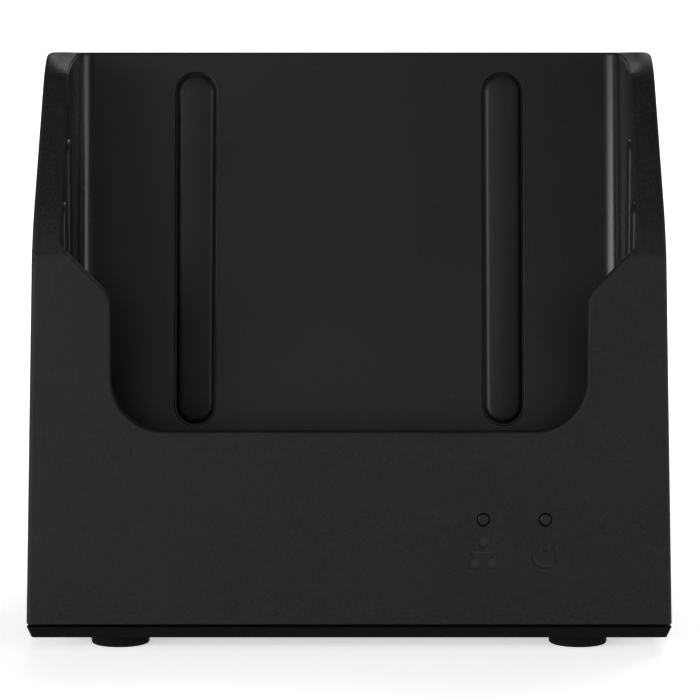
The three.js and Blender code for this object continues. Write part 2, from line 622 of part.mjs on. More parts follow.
function mainBoard() {
  const plate = block([-boardHalf, boardHalf], [boardFront, boardRear], [boardBottom, boardTop]);
  const holes = boardScrewPlaces.map(({ x, y }) => cylinder(x, y,
    [boardBottom - 1, boardTop + 1], BOARD_SCREW.shank + FIT_GAP, 16));
  return cut(plate, ...holes, ...linerPosts(FIT_GAP));
}

function networkJack() {
  const body = block(about(NETWORK_JACK.x, NETWORK_JACK.width),
    [jackMouth - NETWORK_JACK.depth, jackMouth], [partsBase, partsBase + NETWORK_JACK.height]);
  const depth = [jackMouth - NETWORK_PORT.depth, jackMouth + 1];
  const port = block(about(NETWORK_JACK.x, NETWORK_PORT.width), depth,
    about(portMiddle, NETWORK_PORT.height));
  const low = portMiddle - NETWORK_PORT.height / 2;
  const latch = block(about(NETWORK_JACK.x, NETWORK_PORT.latchWidth), depth,
    [low - NETWORK_PORT.latchHeight, low + 1]);
  return cut(body, port, latch);
}

// The insulator at the back of the port, with one sloping finger for each wire.
function networkContacts() {
  const rear = jackMouth - NETWORK_PORT.depth + REST_GAP;
  const high = portMiddle + NETWORK_PORT.height / 2 - REST_GAP;
  const carrier = block(about(NETWORK_JACK.x, NETWORK_PORT.width - 2 * FIT_GAP), [rear, rear + 3],
    [high - 3, high]);
  const fingers = Array.from({ length: CONTACT_FINGERS }, (_, i) => {
    const x = NETWORK_JACK.x + (i - (CONTACT_FINGERS - 1) / 2) * FINGER.pitch;
    const outline = rounded([[rear + 2, high - 2], [rear + 2, high - 2 - FINGER.rise],
      [rear + 3 + FINGER.length, high - 1], [rear + 3 + FINGER.length, high - 0.5]]);
    return alongX(outline, x - FINGER.width / 2, x + FINGER.width / 2);
  });
  return joined(carrier, ...fingers);
}

function powerJack() {
  const body = block(about(POWER_JACK.x, POWER_JACK.width), [jackMouth - POWER_JACK.depth, jackMouth],
    [partsBase, partsBase + POWER_JACK.height]);
  const floor = jackMouth - POWER_JACK.boreDepth;
  return cut(body, cylinderAlongY(POWER_JACK.x, boreMiddle, [floor, jackMouth + 1], POWER_JACK.bore, 24),
    cylinderAlongY(POWER_JACK.x, boreMiddle, [floor - POWER_PIN.root, jackMouth],
      POWER_PIN.radius + PIN_GAP, 16));
}

function powerPin() {
  const floor = jackMouth - POWER_JACK.boreDepth;
  return cylinderAlongY(POWER_JACK.x, boreMiddle,
    [floor - POWER_PIN.root + REST_GAP, jackMouth - POWER_PIN.setBack], POWER_PIN.radius, 16);
}

// A plain package standing on the main board, its middle at a reach in front of the rear edge.
function boardPackage({ x, reach, width, depth, height }) {
  return block(about(x, width), about(boardRear - reach, depth), [partsBase, partsBase + height]);
}

function capacitor() {
  const { radius, height } = CAPACITOR;
  return turned([[0, 0], [radius, 0], [radius, height - 0.5], [radius - 0.5, height], [0, height]]);
}

const ribbonSocketRear = boardFront + RIBBON_SOCKET.frontInset + RIBBON_SOCKET.depth;

function ribbonSocket() {
  return block(about(0, RIBBON_SOCKET.width), [ribbonSocketRear - RIBBON_SOCKET.depth, ribbonSocketRear],
    [partsBase, partsBase + RIBBON_SOCKET.height]);
}

// ---------------------------------------------------------------- spring contacts

function contactBlock() {
  const nose = block(about(0, noseWidth), about(contactY, NOSE.depth), [blockTop - 1, noseTop]);
  const body = block(about(0, blockWidth), about(contactY, BLOCK.depth), [blockBottom, blockTop]);
  const ears = block(about(0, blockWidth + 2 * EAR.length), about(contactY, BLOCK.depth),
    [blockTop - EAR.height, blockTop]);
  const bores = contactPlaces.map(({ x }) => joined(
    cylinder(x, contactY, [blockBottom - 1, noseTop + 1], PLUNGER.radius + PIN_GAP, 16),
    cylinder(x, contactY, [blockBottom - 1, flangeTop], PLUNGER.flange + PIN_GAP, 16),
  ));
  const holes = blockScrewPlaces.map(({ x }) => cylinder(x, contactY,
    [blockTop - EAR.height - 1, blockTop + 1], BLOCK_SCREW.shank + PIN_GAP, 16));
  return cut(joined(nose, body, ears), ...bores, ...holes);
}

// A plunger with its origin at the top of its flange, the stop that it rests against.
function plunger() {
  const { radius, flange, flangeHeight, tail, tailLength } = PLUNGER;
  const tip = noseTop + PLUNGER_STAND - flangeTop;
  return turned([[0, -flangeHeight - tailLength], [tail, -flangeHeight - tailLength],
    [tail, -flangeHeight], [flange, -flangeHeight], [flange, -REST_GAP], [radius, -REST_GAP],
    [radius, tip - radius], [radius * 0.7, tip - radius * 0.3], [0, tip]], 16);
}

// The space that the coil spring takes up, from the contact board to the plunger's flange.
function contactSpring() {
  const low = blockBottom - flangeTop + REST_GAP;
  const high = -PLUNGER.flangeHeight - REST_GAP / 2;
  return turned([[SPRING.inner, low], [SPRING.outer, low], [SPRING.outer, high],
    [SPRING.inner, high], [SPRING.inner, low]], 12);
}

function contactBoard() {
  return block(about(0, blockWidth - 2 * CONTACT_BOARD.inset), about(contactY, CONTACT_BOARD.depth),
    [blockBottom - REST_GAP - CONTACT_BOARD.thickness, blockBottom - REST_GAP]);
}

// ---------------------------------------------------------------- materials

const finish = (color, roughness, metalness = 0) => new THREE.MeshStandardMaterial({
  color, roughness, metalness,
});
const TEXTURED_BLACK = finish(0x262627, 0.72);
const SATIN_BLACK = finish(0x29292b, 0.42);
const PAD_BLACK = finish(0x222223, 0.5);
const RUBBER = finish(0x101010, 0.9);
const LIGHT_PIPE = finish(0x6e7072, 0.2);
const BOARD_GREEN = finish(0x1d4a2c, 0.45);
const LED_WHITE = finish(0xd9d6c4, 0.4);
const CHIP_BLACK = finish(0x18181a, 0.55);
const JACK_STEEL = finish(0xb9bbbd, 0.35, 1);
const JACK_BLACK = finish(0x1b1b1c, 0.55);
const CAN_ALUMINIUM = finish(0xc6c8ca, 0.3, 1);
const CONTACT_GOLD = finish(0xc9a24a, 0.3, 1);
const SPRING_STEEL = finish(0x9fa1a3, 0.3, 1);
const SCREW_STEEL = finish(0x8d8f91, 0.4, 1);
const CABLE_GREY = finish(0x8c8c88, 0.6);
const CONNECTOR_CREAM = finish(0xcfc7ae, 0.55);

// ---------------------------------------------------------------- assembly

const cradle = new THREE.Group();

function place(name, shape, material, position = [0, 0, 0], parent = cradle) {
  const geometry = shape.isBufferGeometry ? geometryOf(solid(shape)) : geometryOf(shape);
  const mesh = new THREE.Mesh(geometry, material);
  mesh.name = name;
  mesh.position.set(...position);
  parent.add(mesh);
}

place('upper_housing', upperHousing(), TEXTURED_BLACK);
place('pocket_liner', pocketLiner(), SATIN_BLACK);
place('base_tray', baseTray(), TEXTURED_BLACK);

const footShape = foot();
feetPlaces.forEach(({ side, end, x, y }) => {
  place(`foot_${side}_${end}`, footShape, RUBBER, [x, y, 0]);
});

const PAD_REST = -PAD_BED + REST_GAP;
mirrored(BACK_PAD_X).forEach(({ side, x }) => {
  place(`back_pad_${side}`, backPill(x, 0, PAD_REST, BACK_PAD_RISE), PAD_BLACK);
});
sidePadPlaces.forEach(({ name, x, pad }) => {
  place(name, sidePill(x, pad, 0, PAD_REST, SIDE_PAD_RISE), PAD_BLACK);
});

Object.entries(lightPlaces).forEach(([name, x]) => {
  place(`${name}_light_pipe`, lightPipe(x), LIGHT_PIPE);
  place(`${name}_led`, led(x), LED_WHITE);
});
place('indicator_board', indicatorBoard(), BOARD_GREEN);

place('main_board', mainBoard(), BOARD_GREEN);
place('network_jack', networkJack(), JACK_STEEL);
place('network_contacts', networkContacts(), CONTACT_GOLD);
place('power_jack', powerJack(), JACK_BLACK);
place('power_jack_pin', powerPin(), SPRING_STEEL);
place('network_transformer', boardPackage(TRANSFORMER), CHIP_BLACK);
place('controller_chip', boardPackage(CONTROLLER), CHIP_BLACK);
place('power_inductor', boardPackage(INDUCTOR), CHIP_BLACK);
place('bulk_capacitor', capacitor(), CAN_ALUMINIUM, [CAPACITOR.x, boardRear - CAPACITOR.reach, partsBase]);
place('ribbon_socket', ribbonSocket(), CONNECTOR_CREAM);

place('contact_block', contactBlock(), JACK_BLACK);
place('contact_board', contactBoard(), BOARD_GREEN);
const contactRow = new THREE.Group();
contactRow.position.set(0, contactY, flangeTop);
cradle.add(contactRow);
const plungerShape = plunger();
const springShape = contactSpring();
contactPlaces.forEach(({ number, x }) => {
  place(`contact_plunger_${number}`, plungerShape, CONTACT_GOLD, [x, 0, 0], contactRow);
  place(`contact_spring_${number}`, springShape, SPRING_STEEL, [x, 0, 0], contactRow);
});

const ribbonTop = blockBottom - CONTACT_BOARD.thickness - 2 * REST_GAP;
const ribbonDrop = partsBase + RIBBON_SOCKET.height + REST_GAP;
place('contact_ribbon', ribbon(0, RIBBON, [
  [contactY, ribbonTop - RIBBON.thickness],
  [ribbonSocketRear - RIBBON_SOCKET.depth / 2, ribbonTop - RIBBON.thickness],
  [ribbonSocketRear - RIBBON_SOCKET.depth / 2, ribbonDrop],
]), CABLE_GREY);
const ribbonLow = boardTop + REST_GAP;
place('indicator_ribbon', ribbon(lightPlaces.network, INDICATOR_RIBBON, [
  [indicatorRear + REST_GAP, ribbonLow],
  [boardFront + 4, ribbonLow],
]), CABLE_GREY);

const caseScrewShape = screw(CASE_SCREW);
caseScrewPlaces.forEach(({ side, end, x, y }) => {
  place(`case_screw_${side}_${end}`, caseScrewShape, SCREW_STEEL, [x, y, caseScrewSeat - REST_GAP]);
});
// The board screws go in from above, so their shape is turned over.
const boardScrewShape = geometryOf(screw(BOARD_SCREW)).rotateX(Math.PI);
boardScrewPlaces.forEach(({ side, end, x, y }) => {
  place(`board_screw_${side}_${end}`, boardScrewShape, SCREW_STEEL, [x, y, boardTop + REST_GAP]);
});
const blockScrewShape = screw(BLOCK_SCREW);
blockScrewPlaces.forEach(({ side, x }) => {
  place(`block_screw_${side}`, blockScrewShape, SCREW_STEEL,
    [x, contactY, blockTop - EAR.height - REST_GAP]);
});

export default cradle;
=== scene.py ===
"""Desktop charging cradle: the surfaces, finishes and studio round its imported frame."""

import json
import math

import bmesh
import bpy
import numpy as np
from bpy.props import FloatProperty, FloatVectorProperty, PointerProperty
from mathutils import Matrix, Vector


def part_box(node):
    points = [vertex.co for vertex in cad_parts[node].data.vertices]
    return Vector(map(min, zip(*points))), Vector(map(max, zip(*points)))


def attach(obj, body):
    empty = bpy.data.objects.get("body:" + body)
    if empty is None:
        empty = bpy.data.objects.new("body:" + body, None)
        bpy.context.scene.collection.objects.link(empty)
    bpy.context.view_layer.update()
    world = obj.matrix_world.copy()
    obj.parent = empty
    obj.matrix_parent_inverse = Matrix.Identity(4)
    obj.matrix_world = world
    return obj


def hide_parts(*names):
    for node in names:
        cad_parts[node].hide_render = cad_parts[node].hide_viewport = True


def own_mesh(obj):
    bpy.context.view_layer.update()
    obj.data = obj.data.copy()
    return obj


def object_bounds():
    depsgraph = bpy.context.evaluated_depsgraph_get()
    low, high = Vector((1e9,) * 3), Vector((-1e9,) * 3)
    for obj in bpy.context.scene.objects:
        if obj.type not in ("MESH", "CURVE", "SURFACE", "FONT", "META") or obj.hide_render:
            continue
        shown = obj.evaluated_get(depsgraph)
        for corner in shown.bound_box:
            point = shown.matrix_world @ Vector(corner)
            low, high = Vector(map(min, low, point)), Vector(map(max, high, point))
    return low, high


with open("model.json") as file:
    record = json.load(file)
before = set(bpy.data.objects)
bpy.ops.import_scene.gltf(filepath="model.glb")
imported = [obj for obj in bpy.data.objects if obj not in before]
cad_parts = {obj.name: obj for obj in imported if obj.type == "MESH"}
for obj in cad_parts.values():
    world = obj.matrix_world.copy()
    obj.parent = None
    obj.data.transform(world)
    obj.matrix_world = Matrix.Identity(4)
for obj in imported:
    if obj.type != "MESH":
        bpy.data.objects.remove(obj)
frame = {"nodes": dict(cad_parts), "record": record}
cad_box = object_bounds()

bl_info = {
    "name": "Desktop charging cradle",
    "version": (1, 0, 0),
    "blender": (4, 5, 0),
    "location": "3D View > Sidebar > Cradle",
    "description": "Builds the visible surfaces of a desktop charging cradle round its frame",
    "category": "Add Mesh",
}

MM = 0.001
ROOT = "cradle"
CORNERS = [f"{side}_{end}" for side in ("left", "right") for end in ("front", "rear")]

# Columns of a housing section: shares of the way along the front, then counts.
AHEAD = np.array([0, 0.08, 0.18, 0.3, 0.45, 0.6, 0.75, 0.9, 1])
FRONT_CORNER, SIDE_STEPS, REAR_CORNER = 5, 6, 14
SIDE_END = len(AHEAD) + FRONT_CORNER + SIDE_STEPS  # where the rear corner starts

# The liner meets the housing's edge above this height, over this much of it.
RIM_FROM, RIM_OVER = 66 * MM, 5 * MM
LID_FROM = 72 * MM  # the inner skin's sections draw down under the top from here
PARTING_GAP = 0.44 * MM

LENS_RADIUS = 0.96 * MM
FLANGE_FRONT = 3.46 * MM
PORT_HALF_WIDTH, PORT_HALF_HEIGHT = 6.85 * MM, 5.5 * MM
PLUG_WINDOW_RADIUS = 4.95 * MM

CONTACT_COUNT = 8
CONTACT_NOSE = (12.5 * MM, 2.7 * MM)
STEM_RADIUS = 0.75 * MM
TAIL_RADIUS, TAIL_LENGTH = 0.55 * MM, 2.4 * MM
WIRE_RADIUS = 0.16 * MM
SPRING_TURNS = 7

SWEEP_RADIUS, SWEEP_BEND, SWEEP_HEIGHT = 1.7, 0.35, 0.5


# ------------------------------------------------------------------ properties


def size(name, description, millimetres):
    """A length property, given in millimetres and kept in metres."""
    return FloatProperty(name=name, description=description, default=millimetres * MM,
                         min=0.0, precision=5, subtype="DISTANCE", unit="LENGTH")


def angle(name, description, degrees):
    return FloatProperty(name=name, description=description, default=math.radians(degrees),
                         subtype="ANGLE", unit="ROTATION")


def amount(name, description, default, high=10.0):
    return FloatProperty(name=name, description=description, default=default, min=0.0, max=high)


def colour(name, description, rgb):
    return FloatVectorProperty(name=name, description=description, default=rgb, size=3,
                               min=0.0, max=1.0, subtype="COLOR")


class HousingSizes(bpy.types.PropertyGroup):
    wall: size("Wall", "Thickness of the sides, top and rear", 2.0)
    front_wall: size("Front wall", "Thickness of the front", 3.2)
    side_draft: angle("Side draft", "How far each side leans inwards", 1.23)
    front_lean: angle("Front lean", "How far the front leans back", 1.46)
    crease_height: size("Crease height", "Where the front turns into the slope", 67.3)
    crease_lean: angle("Crease lean", "Lean of the slope just above the crease", 18.5)
    crease_radius: size("Crease radius", "Round along the crease", 1.2)
    bend_rise: size("Bend rise", "From the crease to the bend in the slope", 5.9)
    bend_radius: size("Bend radius", "Round along the bend", 40.0)
    slope_lean: angle("Slope lean", "Lean of the upper slope", 31.6)
    brow_radius: size("Brow radius", "Round from the slope to the top", 12.0)
    top_reach: size("Top reach", "Rear end of the top, behind the front", 54.0)
    top_rear_radius: size("Top rear radius", "Round from the top to the rear slope", 6.0)
    knee_height: size("Knee height", "Where the rear slope meets the jack panel", 36.0)
    knee_radius: size("Knee radius", "Round along the knee", 10.0)
    front_edge_radius: size("Front edge", "Round of the upright front edges", 0.8)
    rear_edge_radius: size("Rear edge", "Round of the upright rear edges", 8.0)
    top_edge_radius: size("Top edge", "Round of the top's side edges", 0.9)
    bottom_edge_radius: size("Bottom edge", "Round along the parting groove", 0.15)
    rim_radius: size("Rim radius", "Round along the opening's edge", 0.32)
    rim_depth: size("Rim depth", "Housing edge seen above the liner", 0.5)
    roll_drop: size("Roll drop", "How far below the top the wing starts to roll inwards", 4.0)
    roll_reach: size("Roll reach", "How far back the roll carries the opening's edge", 14.2)


class CutoutSizes(bpy.types.PropertyGroup):
    bottom: size("Bottom", "Height of the cut-out's lower edge", 37.4)
    cheek: size("Cheek", "Front left standing each side", 14.56)
    corner_radius: size("Corner radius", "Round of the lower corners", 9.0)
    shoulder_height: size("Shoulder height", "Where the edge turns outwards", 60.5)
    shoulder_radius: size("Shoulder radius", "Round of the shoulders", 4.0)


class PocketSizes(bpy.types.PropertyGroup):
    floor: size("Floor", "Height of the pocket's floor", 30.0)
    reach: size("Reach", "Back of the floor, behind the front", 32.8)
    back_lean: angle("Back lean", "Lean of the back wall", 10.0)
    back_radius: size("Back radius", "Round of the back corners", 2.6)
    floor_radius: size("Floor radius", "Round between the floor and the walls", 1.5)
    wall: size("Wall", "Thickness of the liner", 1.8)
    gap: size("Gap", "Gap between liner and housing", 0.3)
    lip_drop: size("Lip drop", "Front wall of the liner, below the cut-out", 1.4)


class PadSizes(bpy.types.PropertyGroup):
    bed: size("Bed", "Depth of the bed that a pad sits in", 0.8)
    gap: size("Gap", "Gap round a pad", 0.35)
    back_rise: size("Back rise", "How far a back pad stands out", 1.2)
    side_rise: size("Side rise", "How far a side pad stands out", 0.5)
    back_edge: size("Back edge", "Round of a back pad's edge", 1.0)
    side_edge: size("Side edge", "Round of a side pad's edge", 0.4)
    floor_margin: size("Floor margin", "Back pad's foot above the floor", 4.9)
    top_margin: size("Top margin", "Back pad's top below the cradle's top", 3.9)


class BaseSizes(bpy.types.PropertyGroup):
    bevel: size("Bevel", "How far the tray's lower edge steps in", 0.75)
    edge_radius: size("Edge radius", "Round of the tray's edges", 0.18)
    rear_radius: size("Rear radius", "Round of the tray's rear corners", 8.0)
    spigot_height: size("Spigot height", "Lip that stands inside the housing", 2.6)
    spigot_wall: size("Spigot wall", "Thickness of that lip", 1.4)
    foot_edge: size("Foot edge", "Round of a foot's lower edge", 0.4)
    foot_gap: size("Foot gap", "Gap round a foot in its bed", 0.1)


class LightSizes(bpy.types.PropertyGroup):
    hole_gap: size("Hole gap", "Gap round a light pipe", 0.19)
    lens_dome: size("Lens dome", "How far the lens crowns", 0.12)
    lens_edge: size("Lens edge", "Round of the lens edge", 0.16)
    symbol_depth: size("Symbol depth", "Depth of the moulded symbols", 0.4)
    symbol_drop: size("Symbol drop", "Symbol middle below its light", 5.7)


class Finishes(bpy.types.PropertyGroup):
    housing: colour("Housing", "Textured outer plastic", (0.0043, 0.0043, 0.0043))
    liner: colour("Liner", "Smooth pocket plastic", (0.0054, 0.0054, 0.0059))
    pads: colour("Pads", "Guide pads", (0.0040, 0.0040, 0.0041))
    # The tray is its own black, darkened to about half the housing's as painted shade for its
    # downward-facing bevel.
    tray: colour("Tray", "Base tray", (0.0019, 0.0019, 0.0019))
    feet: colour("Feet", "Rubber feet", (0.0015, 0.0015, 0.0015))
    symbols: colour("Symbols", "Polished symbols in the front", (0.0050, 0.0050, 0.0051))
    lens: colour("Lens", "Light pipe lenses", (0.0045, 0.0046, 0.0048))


class StudioSettings(bpy.types.PropertyGroup):
    camera_distance: size("Camera distance", "From the front to the camera", 500.0)
    camera_height: size("Camera height", "Camera above the table", 100.0)
    camera_side: size("Camera side", "Camera to the right of the middle", 0.15)
    camera_tilt: angle("Camera tilt", "How far the camera looks down", 5.54)
    camera_lens: amount("Lens", "Focal length in millimetres", 153.15, 500.0)
    left_power: amount("Left softbox", "Power of the left softbox in watts", 12.0, 500.0)
    right_power: amount("Right softbox", "Power of the right softbox in watts", 4.3, 500.0)
    front_power: amount("Front softbox", "Power of the front softbox in watts", 0.55, 500.0)
    top_power: amount("Top softbox", "Power of the overhead softbox in watts", 1.2, 500.0)
    rear_power: amount("Rear softbox", "Power of the rear softbox in watts", 9.0, 500.0)
    # The sweep's glow is dimmed near the cradle, a painted shadow round it.
    sweep_glow: amount("Sweep glow", "Light given off by the far part of the sweep", 0.9, 5.0)
    sky: amount("Sky", "Brightness of the room above", 0.015, 5.0)


GROUPS = {
    "cradle_housing": HousingSizes,
    "cradle_cutout": CutoutSizes,
    "cradle_pocket": PocketSizes,
    "cradle_pads": PadSizes,
    "cradle_base": BaseSizes,
    "cradle_lights": LightSizes,
    "cradle_finishes": Finishes,
    "cradle_studio": StudioSettings,
}


def settings(name):
    return getattr(bpy.context.scene, f"cradle_{name}")


# ------------------------------------------------------------------ outlines and surfaces


def rounded(corners, step=math.radians(4)):
    """Outline through corners (u, v, radius): at each corner an arc of that radius, tangent to
    both edges, its centre on the corner's bisector at radius / sin(half angle)."""
    points = []
    count = len(corners)
    for i, (u, v, radius) in enumerate(corners):
        here = np.array([u, v])
        if radius <= 0:
            points.append(here[None])
            continue
        before = np.array(corners[i - 1][:2]) - here
        after = np.array(corners[(i + 1) % count][:2]) - here
        room = 0.49 * min(np.linalg.norm(before), np.linalg.norm(after))
        before /= np.linalg.norm(before)
        after /= np.linalg.norm(after)
        half = math.acos(np.clip(before @ after, -1, 1)) / 2
        reach = min(radius / math.tan(half), room)
        arc = reach * math.tan(half)
        middle = (before + after) / np.linalg.norm(before + after)
        centre = here + middle * arc / math.sin(half)
        start = here + before * reach - centre
        turn = math.copysign(math.pi - 2 * half, after[0] * before[1] - after[1] * before[0])
        t = np.linspace(0, turn, max(2, math.ceil(abs(turn) / step)) + 1)
        points.append(centre + np.stack([start[0] * np.cos(t) - start[1] * np.sin(t),
                                         start[0] * np.sin(t) + start[1] * np.cos(t)], 1))
    return np.concatenate(points)


def grid_faces(rows, columns, wrap_rows=False, wrap_columns=False, first=0):
    """Quads of a grid of points stored row by row."""
    r = np.arange(rows if wrap_rows else rows - 1)[:, None]
    c = np.arange(columns if wrap_columns else columns - 1)[None]
    r1, c1 = (r + 1) % rows, (c + 1) % columns
    quads = [r * columns + c, r * columns + c1, r1 * columns + c1, r1 * columns + c]
    return np.stack([np.broadcast_to(q, (r.size, c.size)) for q in quads], -1).reshape(-1, 4) + first


def piece(name, patches, caps=(), closed=True):
    """One mesh from grids of points (rows, columns, 3), each with its wraps, and flat caps given
    as loops of points. Points that meet are welded, and a closed shape's faces turned outwards."""
    points, faces, first = [], [], 0
    for patch, *wraps in patches:
        rows, columns = patch.shape[:2]
        faces += grid_faces(rows, columns, *(list(wraps) + [False, False])[:2], first).tolist()
        points.append(patch.reshape(-1, 3))
        first += rows * columns
    for loop in caps:
        faces.append(list(range(first, first + len(loop))))
        points.append(loop)
        first += len(loop)
    mesh = bpy.data.meshes.new(name)
    mesh.from_pydata(np.concatenate(points).tolist(), [], faces)
    work = bmesh.new()
    work.from_mesh(mesh)
    bmesh.ops.remove_doubles(work, verts=work.verts, dist=2e-6)
    bmesh.ops.dissolve_degenerate(work, edges=work.edges, dist=1e-7)
    if closed:
        bmesh.ops.recalc_face_normals(work, faces=work.faces)
    work.to_mesh(mesh)
    work.free()
    obj = bpy.data.objects.new(name, mesh)
    bpy.context.scene.collection.objects.link(obj)
    return obj


def applied(obj):
    """The object with its modifiers made part of its mesh."""
    shaped = obj.evaluated_get(bpy.context.evaluated_depsgraph_get())
    old, mesh = obj.data, bpy.data.meshes.new_from_object(shaped)
    obj.modifiers.clear()
    obj.data = mesh
    bpy.data.meshes.remove(old)
    return obj


def cut(obj, cutters):
    """Takes closed shapes out of a closed piece."""
    for cutter in cutters:
        modifier = obj.modifiers.new("cut", "BOOLEAN")
        modifier.operation = "DIFFERENCE"
        modifier.solver = "EXACT"
        modifier.object = cutter
    applied(obj)
    for cutter in cutters:
        mesh = cutter.data
        bpy.data.objects.remove(cutter)
        bpy.data.meshes.remove(mesh)
    return obj


def smooth(obj, sharp=30.0):
    """Smooth shading that keeps flat faces flat and creases sharp."""
    obj.data.shade_smooth()
    obj.data.set_sharp_from_angle(angle=math.radians(sharp))
    weighted = obj.modifiers.new("flat faces", "WEIGHTED_NORMAL")
    weighted.keep_sharp = True
    return obj


def marked(obj, finishes, index):
    """Gives a cutter the finishes of the piece it cuts, and its faces the one that they leave."""
    for finish in finishes:
        obj.data.materials.append(finish)
    obj.data.polygons.foreach_set("material_index", np.full(len(obj.data.polygons), index, "i"))
    return obj


def dressed(obj, material, body, slot, *nodes):
    """Gives a finished piece its material and its body, and hides the nodes it stands for. The finish
    slot is not used.
    """
    if not obj.data.materials:
        obj.data.materials.append(material)
    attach(obj, body)
    if nodes:
        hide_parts(*nodes)
    return obj


def turned(profile, centre, axis, segments=64):
    """A profile of (radius, distance) points turned about a line through centre along axis:
    each point goes to centre + distance * axis + radius * (cos t, sin t) across it."""
    axis = np.array(axis, float) / np.linalg.norm(axis)
    across = np.cross(axis, [1.0, 0, 0] if abs(axis[0]) < 0.9 else [0, 1.0, 0])
    across /= np.linalg.norm(across)
    other = np.cross(axis, across)
    t = np.linspace(0, 2 * math.pi, segments, endpoint=False)
    ring = np.cos(t)[:, None] * across + np.sin(t)[:, None] * other
    profile = np.array(profile, float)
    return (np.array(centre) + profile[:, 1, None, None] * axis
            + profile[:, 0, None, None] * ring[None])


def turned_piece(name, profile, centre, axis, segments):
    """A closed piece turned from a profile that starts and ends on its axis."""
    return piece(name, [(turned(profile, centre, axis, segments), False, True)])


def spot(node):
    """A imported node's low corner, high corner and middle."""
    low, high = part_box(node)
    return low, high, tuple((a + b) / 2 for a, b in zip(low, high))


def box_points(low, high):
    """The six faces of a box as 2 by 2 grids."""
    (x0, y0, z0), (x1, y1, z1) = low, high
    corner = np.array([[[[x, y, z] for z in (z0, z1)] for y in (y0, y1)] for x in (x0, x1)])
    faces = [corner[0], corner[1], corner[:, 0], corner[:, 1], corner[:, :, 0], corner[:, :, 1]]
    return [(face,) for face in faces]


# ------------------------------------------------------------------ the housing's shape


def arc_fall(radius, turn, steps):
    """How far an arc has fallen from its tangent, at even angles up to turn."""
    t = np.linspace(0, turn, steps + 1)
    return radius * (1 - np.cos(t))


